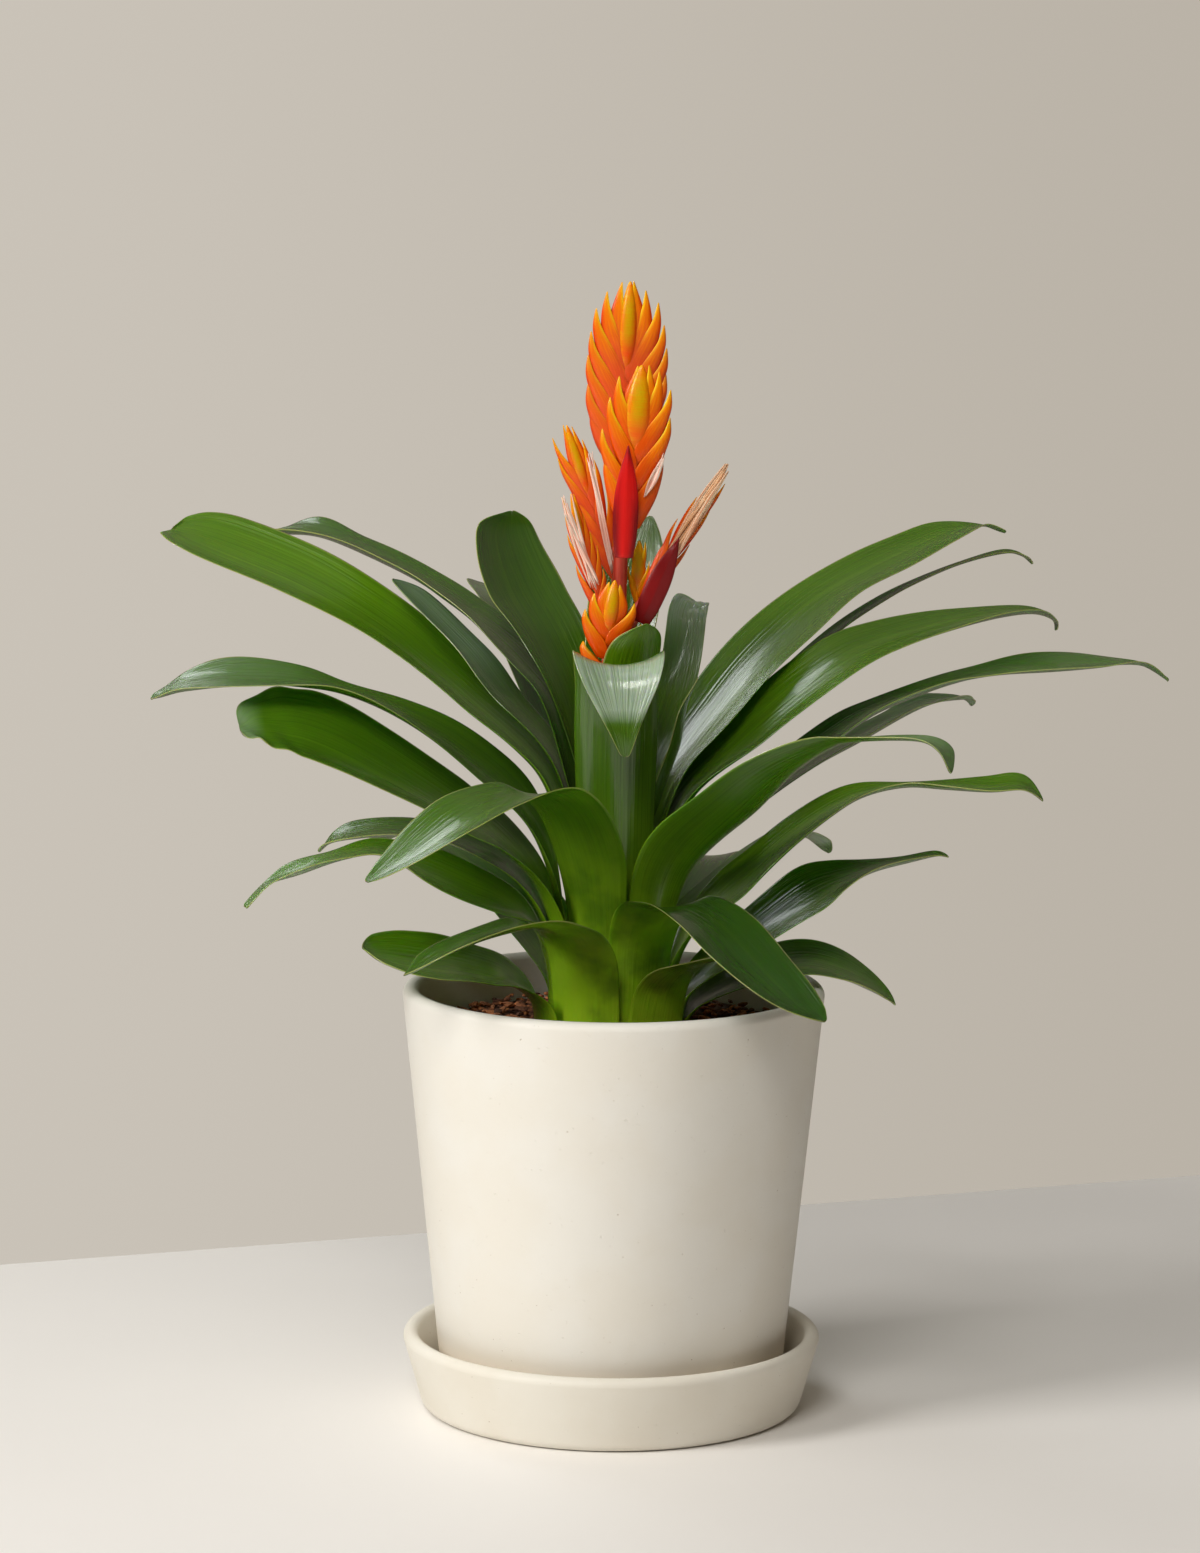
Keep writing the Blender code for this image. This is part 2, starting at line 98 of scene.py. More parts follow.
# %% Camera
CAMERA_PLACE = (-0.0059, -1.90, 0.519)
CAMERA_TILT = 81.9
CAMERA_ROLL = 0.4
LENS_LENGTH = 115.1


def put_camera():
    camera = bpy.data.objects.new("camera", bpy.data.cameras.new("camera"))
    bpy.context.scene.collection.objects.link(camera)
    camera.matrix_world = (Matrix.Translation(CAMERA_PLACE)
                           @ Matrix.Rotation(math.radians(CAMERA_TILT), 4, "X")
                           @ Matrix.Rotation(math.radians(CAMERA_ROLL), 4, "Z"))
    camera.data.lens = LENS_LENGTH
    camera.data.sensor_width = 36
    bpy.context.scene.camera = camera
    print("camera looks down by", round(90 - CAMERA_TILT, 1), "degrees")


put_camera()


# %% Node helpers for the finishes
def new_finish(name):
    print("finish", name)
    material = bpy.data.materials.new(name)
    material.use_nodes = True
    tree = material.node_tree
    return material, tree, tree.nodes["Principled BSDF"]


def feed(tree, socket, value):
    """Link a socket to another, or set it where the value is plain."""
    if isinstance(value, bpy.types.NodeSocket):
        tree.links.new(value, socket)
    else:
        socket.default_value = value


def sums(tree, operation, first, second=0.0):
    step = tree.nodes.new("ShaderNodeMath")
    step.operation = operation
    feed(tree, step.inputs[0], first)
    feed(tree, step.inputs[1], second)
    return step.outputs[0]


def times(tree, first, second):
    return sums(tree, "MULTIPLY", first, second)


def off_middle(tree, across):
    """How far a point of the map is from the middle line, 0..0.5."""
    return sums(tree, "ABSOLUTE", sums(tree, "SUBTRACT", across, 0.5))


def blend_colours(tree, share, first, second):
    step = tree.nodes.new("ShaderNodeMix")
    step.data_type = "RGBA"
    feed(tree, step.inputs[0], share)
    feed(tree, step.inputs[6], first)
    feed(tree, step.inputs[7], second)
    return step.outputs[2]


def span(tree, value, low, high, low_out=0.0, high_out=1.0):
    """Map low..high smoothly to low_out..high_out."""
    step = tree.nodes.new("ShaderNodeMapRange")
    step.interpolation_type = "SMOOTHSTEP"
    feed(tree, step.inputs[0], value)
    step.inputs[1].default_value = low
    step.inputs[2].default_value = high
    step.inputs[3].default_value = low_out
    step.inputs[4].default_value = high_out
    return step.outputs[0]


def cloud(tree, vector, scale, detail=2.0, roughness=0.5):
    step = tree.nodes.new("ShaderNodeTexNoise")
    feed(tree, step.inputs["Vector"], vector)
    step.inputs["Scale"].default_value = scale
    step.inputs["Detail"].default_value = detail
    step.inputs["Roughness"].default_value = roughness
    return step.outputs["Fac"]


def stretched(tree, vector, scale):
    step = tree.nodes.new("ShaderNodeMapping")
    feed(tree, step.inputs["Vector"], vector)
    step.inputs["Scale"].default_value = scale
    return step.outputs[0]


def bumps(tree, height, depth, strength, under=None):
    step = tree.nodes.new("ShaderNodeBump")
    feed(tree, step.inputs["Height"], height)
    step.inputs["Distance"].default_value = depth
    step.inputs["Strength"].default_value = strength
    if under is not None:
        tree.links.new(under, step.inputs["Normal"])
    return step.outputs[0]


def object_place(tree):
    return tree.nodes.new("ShaderNodeTexCoord").outputs["Object"]


def own_map(tree):
    """The piece's own map: along it in x, across it in y."""
    step = tree.nodes.new("ShaderNodeUVMap")
    step.uv_map = "UVMap"
    return step.outputs[0]


def parts_of(tree, vector):
    step = tree.nodes.new("ShaderNodeSeparateXYZ")
    tree.links.new(vector, step.inputs[0])
    return step.outputs


def own_value(tree, name):
    step = tree.nodes.new("ShaderNodeAttribute")
    step.attribute_name = name
    return step.outputs["Fac"]


def dress(tree, shader, colour, normal, roughness, plain):
    """Link what changes over the skin; plain holds what is the same all over."""
    feed(tree, shader.inputs["Base Color"], colour)
    feed(tree, shader.inputs["Normal"], normal)
    feed(tree, shader.inputs["Roughness"], roughness)
    for name, value in plain.items():
        shader.inputs[name].default_value = value


# %% Table and surroundings
TABLE_WIDTH, TABLE_DEPTH = 8.0, 4.0
TABLE_FAR_EDGE = 0.299
TABLE_SHIFT = 0.01
TABLE_TURN = 19.6
TABLE_WHITE = (0.86, 0.835, 0.805, 1)
TABLE_WHITE_PALER = (0.90, 0.875, 0.845, 1)


def lay_table():
    select_nothing()
    bpy.ops.mesh.primitive_plane_add(size=1)
    table = bpy.context.object
    bpy.ops.object.mode_set(mode="EDIT")
    bpy.ops.transform.resize(value=(TABLE_WIDTH, TABLE_DEPTH, 1.0))
    bpy.ops.transform.translate(value=(0.0, TABLE_FAR_EDGE - TABLE_DEPTH / 2, 0.0))
    bpy.ops.object.mode_set(mode="OBJECT")
    turn = Matrix.Rotation(math.radians(TABLE_TURN), 4, "Z")
    table.data.transform(Matrix.Translation((TABLE_SHIFT, 0.0, 0.0)) @ turn)
    table.name = "table"
    material, tree, shader = new_finish("table_white")
    mottling = cloud(tree, object_place(tree), 6.0, 3.0)
    feed(tree, shader.inputs["Base Color"],
         blend_colours(tree, mottling, TABLE_WHITE, TABLE_WHITE_PALER))
    shader.inputs["Roughness"].default_value = 0.6
    table.data.materials.append(material)


lay_table()


WALL_LEFT = (0.590, 0.545, 0.480, 1)
WALL_RIGHT = (0.490, 0.447, 0.385, 1)
WALL_LEVEL = 0.25
WARM_ROOM = (0.090, 0.066, 0.042, 1)
CEILING = (0.17, 0.16, 0.14, 1)


def colour_surroundings():
    """A pale wall behind the table; the room in front is dim and warm, its ceiling paler."""
    world = bpy.data.worlds.new("studio")
    bpy.context.scene.world = world
    world.use_nodes = True
    tree = world.node_tree
    tree.nodes.clear()
    right, back, up = parts_of(tree, tree.nodes.new("ShaderNodeTexCoord").outputs["Generated"])
    # The wall seen by the camera is painted lighter on the left than on the right: painted shading of the
    # wall, lit from the left.
    wall = blend_colours(tree, span(tree, right, -0.15, 0.15), WALL_LEFT, WALL_RIGHT)
    behind = times(tree, span(tree, back, -0.1, 0.7), WALL_LEVEL)
    room = blend_colours(tree, behind, WARM_ROOM, wall)
    room = blend_colours(tree, span(tree, up, 0.45, 0.80), room, CEILING)
    seen = tree.nodes.new("ShaderNodeLightPath").outputs["Is Camera Ray"]
    shade = tree.nodes.new("ShaderNodeBackground")
    feed(tree, shade.inputs["Color"], blend_colours(tree, seen, room, wall))
    result = tree.nodes.new("ShaderNodeOutputWorld")
    tree.links.new(shade.outputs[0], result.inputs[0])
    print("surroundings", world.name)


colour_surroundings()


# %% Soft boxes
# Each box: place, the point it faces, width, height, power in watts, colour.
SOFT_BOXES = {
    "key_box": ((-1.75, -1.00, 1.35), (0, 0, 0.20), 0.7, 0.9, 33, (1.0, 0.98, 0.95)),
    "front_box": ((-0.45, -1.75, 1.75), (0, 0, 0.20), 0.9, 0.6, 22, (1.0, 0.98, 0.94)),
    "top_box": ((-0.5, -0.6, 2.3), (0, 0, 0.10), 1.2, 0.8, 5, (1.0, 0.99, 0.97)),
    "rim_box": ((-0.75, 0.95, 1.35), (0, 0, 0.25), 0.5, 0.5, 4, (0.95, 0.99, 1.0)),
}


def hang_soft_box(name, place, aim, width, height, power, colour):
    light = bpy.data.lights.new(name, "AREA")
    light.shape = "RECTANGLE"
    light.size = width
    light.size_y = height
    light.energy = power
    light.color = colour
    item = bpy.data.objects.new(name, light)
    bpy.context.scene.collection.objects.link(item)
    item.location = place
    item.rotation_euler = (Vector(aim) - Vector(place)).to_track_quat("-Z", "Y").to_euler()
    print(name, power, "W")


for name, box in SOFT_BOXES.items():
    hang_soft_box(name, *box)
bpy.context.scene.view_settings.view_transform = "Standard"

# %% [markdown]
# ## The saucer and the pot
# Both are turned on a wheel and dipped in a matt cream glaze. They could be a profile with a
# Screw modifier; here a circle is raised ring by ring, the way a potter pulls up a wall, which
# gives full control of the rounded foot and lip.

# %% Sizes of the pottery
SAUCER_HEIGHT = 30.5
SAUCER_FOOT_RADIUS = 70.0
SAUCER_FOOT_ROUND = 5.0
SAUCER_LIP_RADIUS = 81.5
SAUCER_WALL = 6.0
SAUCER_FLOOR = 8.0
SAUCER_INNER_RADIUS = 69.0
POT_HEIGHT = 167.0
POT_RIM_RADIUS = 82.0
POT_FOOT_RADIUS = 66.7
POT_FOOT_ROUND = 4.0
POT_WALL = 6.5
POT_BASE_THICKNESS = 8.0
DRAIN_HOLE_RADIUS = 7.0
INNER_ROUND = 3.0
HUB_RADIUS = 2.0
FIT_GAP = 0.3
WHEEL_STEPS = 160


def rounded(radius, height, size, start, end, steps):
    """Points of an arc, in degrees, round a place of the profile."""
    arc = []
    for step in range(steps + 1):
        angle = math.radians(start + (end - start) * step / steps)
        arc.append((radius + size * math.cos(angle), height + size * math.sin(angle)))
    return arc


def raise_wall(rings):
    """Raise a circle through (radius, height) rings; its first and last edges stay open."""
    select_nothing()
    bpy.ops.mesh.primitive_circle_add(vertices=WHEEL_STEPS, radius=rings[0][0] * MM)
    wall = bpy.context.object
    bpy.ops.object.mode_set(mode="EDIT")
    bpy.ops.mesh.select_mode(type="EDGE")
    bpy.ops.mesh.select_all(action="SELECT")
    bpy.ops.transform.translate(value=(0, 0, rings[0][1] * MM))
    for (radius, height), (next_radius, next_height) in zip(rings, rings[1:]):
        rise = (next_height - height) * MM
        bpy.ops.mesh.extrude_edges_move(TRANSFORM_OT_translate={"value": (0, 0, rise)})
        grow = next_radius / radius
        bpy.ops.transform.resize(value=(grow, grow, 1), center_override=(0, 0, next_height * MM))
    bpy.ops.mesh.select_all(action="DESELECT")
    bpy.ops.mesh.select_non_manifold()
    return wall


def fire(wall):
    """Turn the faces outwards and smooth them."""
    bpy.ops.mesh.select_all(action="SELECT")
    bpy.ops.mesh.normals_make_consistent(inside=False)
    bpy.ops.object.mode_set(mode="OBJECT")
    bpy.ops.object.shade_smooth()
    return wall


# %% [markdown]
# ### The glaze
# Matt cream stoneware glaze is nearly one colour, warmer and darker towards the foot, with pin-holes and a
# few dark specks. Noise at three sizes gives the mottling, pits and specks.

# %% Glaze
LOW_WARM_GLAZE = (0.72, 0.50, 0.26, 1)
DARK_SPECK = (0.34, 0.25, 0.16, 1)


def make_glaze(name, cream, warm, low_warmth):
    material, tree, shader = new_finish(name)
    place = object_place(tree)
    mottling = cloud(tree, place, 28.0, 4.0)
    colour = blend_colours(tree, span(tree, mottling, 0.35, 0.65), cream, warm)
    # Warmer and darker towards the foot, below 38 mm.
    low_warm = span(tree, parts_of(tree, place)[2], 0.018, 0.038, low_warmth, 0.0)
    colour = blend_colours(tree, low_warm, colour, LOW_WARM_GLAZE)
    specks = span(tree, cloud(tree, place, 900.0, 1.0), 0.79, 0.83)
    colour = blend_colours(tree, specks, colour, DARK_SPECK)
    pits = span(tree, cloud(tree, place, 620.0, 2.0), 0.70, 0.78)
    wheel_marks = cloud(tree, stretched(tree, place, (6, 6, 160)), 1.0, 2.0)
    normal = bumps(tree, pits, -0.0004, 0.5)
    normal = bumps(tree, cloud(tree, place, 300.0, 3.0), 0.0002, 0.22, normal)
    normal = bumps(tree, wheel_marks, 0.0004, 0.12, normal)
    dress(tree, shader, colour, normal, span(tree, mottling, 0.3, 0.7, 0.5, 0.62),
          {"Specular IOR Level": 0.4})
    return material


pot_glaze = make_glaze("pot_glaze", (0.80, 0.780, 0.722, 1), (0.785, 0.755, 0.682, 1), 0.40)
saucer_glaze = make_glaze("saucer_glaze", (0.775, 0.745, 0.665, 1), (0.75, 0.71, 0.62, 1), 0.0)


# %% Saucer
def build_saucer():
    lip = SAUCER_WALL / 2
    rings = [(radius, 0.0) for radius in (HUB_RADIUS, 30.0, 58.0)]
    rings += rounded(SAUCER_FOOT_RADIUS, SAUCER_FOOT_ROUND, SAUCER_FOOT_ROUND, -90, -15, 8)
    rings += rounded(SAUCER_LIP_RADIUS - lip, SAUCER_HEIGHT - lip, lip, -10, 170, 14)
    rings += rounded(SAUCER_INNER_RADIUS - INNER_ROUND, SAUCER_FLOOR + INNER_ROUND, INNER_ROUND,
                     -10, -90, 5)
    rings += [(radius, SAUCER_FLOOR) for radius in (50.0, 25.0, HUB_RADIUS)]
    saucer = raise_wall(rings)
    bpy.ops.mesh.fill_holes(sides=0)
    fire(saucer)
    hand_over(saucer, "cream_saucer", "saucer", saucer_glaze)


build_saucer()


# %% Pot
def build_pot():
    foot = SAUCER_FLOOR + FIT_GAP
    lip = POT_WALL / 2
    slope = (POT_RIM_RADIUS - POT_FOOT_RADIUS) / (POT_HEIGHT - foot)
    inside_foot = POT_FOOT_RADIUS - POT_WALL + slope * POT_BASE_THICKNESS
    rings = [(DRAIN_HOLE_RADIUS, foot), (35.0, foot)]
    rings += rounded(POT_FOOT_RADIUS - POT_FOOT_ROUND, foot + POT_FOOT_ROUND, POT_FOOT_ROUND,
                     -90, -6, 6)
    rings += rounded(POT_RIM_RADIUS - lip, POT_HEIGHT - lip, lip, -6, 174, 16)
    rings += [(inside_foot, foot + POT_BASE_THICKNESS + INNER_ROUND),
              (inside_foot - INNER_ROUND, foot + POT_BASE_THICKNESS),
              (DRAIN_HOLE_RADIUS, foot + POT_BASE_THICKNESS)]
    pot = raise_wall(rings)
    bpy.ops.mesh.bridge_edge_loops()
    fire(pot)
    hand_over(pot, "cream_pot", "pot", pot_glaze)


build_pot()

# %% [markdown]
# ## The bark mix
# Bromeliads are planted in chipped bark. It could be a bumpy disc, but chips throw small shadows on each
# other, so a few chips are shaped once and strewn over a bed painted dark as painted shade in the gaps
# between chips.
# Each chip is a low-poly ball squashed into a splinter, as hundreds of them must stay light.

# %% Bark finish
DARK_BARK_AND_GAP_SHADE = (0.086, 0.030, 0.013, 1)
BARK_LIGHT = (0.930, 0.326, 0.120, 1)


def make_bark():
    material, tree, shader = new_finish("bark")
    grain = cloud(tree, object_place(tree), 900.0, 3.0)
    colour = blend_colours(tree, own_value(tree, "shade"), DARK_BARK_AND_GAP_SHADE, BARK_LIGHT)
    colour = blend_colours(tree, span(tree, grain, 0.3, 0.7, 0.0, 0.6), colour, DARK_BARK_AND_GAP_SHADE)
    dress(tree, shader, colour, bumps(tree, grain, 0.0006, 0.7),
          span(tree, grain, 0.3, 0.7, 0.65, 0.95), {})
    return material


SOIL_TOP = 151.0
SOIL_RIM = 73.0
BED_DROP = 2.6
BED_RINGS = 10
BED_RING_WIDTH = 6.6
BED_ROUGHNESS = 0.8
CHIP_SHAPES = 4
CHIP_COUNT = 1300
CHIP_NEAREST, CHIP_FARTHEST = 18, 71.5
WALL_CHIPS_FROM = 69


# %% One chip, strewn
def shape_chip(number, dice):
    """A squashed, knocked-about ball, 1 mm across."""
    select_nothing()
    bpy.ops.mesh.primitive_ico_sphere_add(subdivisions=1, radius=0.5 * MM)
    chip = bpy.context.object
    for vertex in chip.data.vertices:
        vertex.co *= dice.uniform(0.75, 1.2)
    chip.name = "chip_%d" % number
    return chip


def strew_bark():
    dice = random.Random(11)
    chips = [shape_chip(number, dice) for number in range(CHIP_SHAPES)]
    select_nothing()
    bpy.ops.mesh.primitive_circle_add(vertices=72, radius=SOIL_RIM * MM, fill_type="NGON")
    bed = bpy.context.object
    bpy.ops.object.mode_set(mode="EDIT")
    bpy.ops.mesh.select_all(action="SELECT")
    bpy.ops.transform.translate(value=(0, 0, (SOIL_TOP - BED_DROP) * MM))
    for ring in range(BED_RINGS):
        bpy.ops.mesh.inset(thickness=BED_RING_WIDTH * MM)
    bpy.ops.mesh.poke()
    bpy.ops.mesh.select_all(action="SELECT")
    bpy.ops.object.mode_set(mode="OBJECT")
    for vertex in bed.data.vertices:
        vertex.co.z += dice.uniform(-BED_ROUGHNESS, BED_ROUGHNESS) * MM
    strewn = bmesh.new()
    strewn.from_mesh(bed.data)
    # The bed keeps shade 0, the darkest bark colour: painted shade in the gaps between chips. The chips'
    # own tones differ at random.
    shade = strewn.verts.layers.float.new("shade")
    for number in range(CHIP_COUNT):
        reach = math.sqrt(dice.uniform(CHIP_NEAREST ** 2, CHIP_FARTHEST ** 2))
        azimuth = dice.uniform(0, 2 * math.pi)
        length = dice.uniform(3.0, 8.5) * (1.0 if reach < WALL_CHIPS_FROM else 0.5)
        size = (length, dice.uniform(1.6, 3.8), dice.uniform(0.9, 2.2))
        height = SOIL_TOP + dice.uniform(-2.2, 0.9)
        move = (Matrix.Translation((reach * math.cos(azimuth) * MM, reach * math.sin(azimuth) * MM,
                                    height * MM))
                @ Matrix.Rotation(dice.uniform(0, math.pi), 4, "Z")
                @ Matrix.Rotation(dice.uniform(-0.35, 0.35), 4, "Y")
                @ Matrix.Diagonal((*size, 1)))
        tone = dice.random() ** 1.6
        before = len(strewn.verts)
        chip = chips[number % len(chips)].data.copy()
        chip.transform(move)
        strewn.from_mesh(chip)
        bpy.data.meshes.remove(chip)
        strewn.verts.ensure_lookup_table()
        for vertex in strewn.verts[before:]:
            vertex[shade] = tone
    strewn.to_mesh(bed.data)
    strewn.free()
    for chip in chips:
        bpy.data.objects.remove(chip, do_unlink=True)
    hand_over(bed, "bark_chips", "soil", make_bark())


strew_bark()

# %% [markdown]
# ## The leaves
# Each leaf is a strap that starts in the rosette, rises, and arches over to a small drip point.
# It could be drawn as a curve with a bevel, but its width, roll and channel all change along its
# length. So a flat grid is added for each leaf and its points are laid along stations: reach
# from the axis, height, width and roll, with a smooth curve through them.
# Near the axis the blades wrap round each other in a tube; further out each has a shallow
# gutter along its middle.

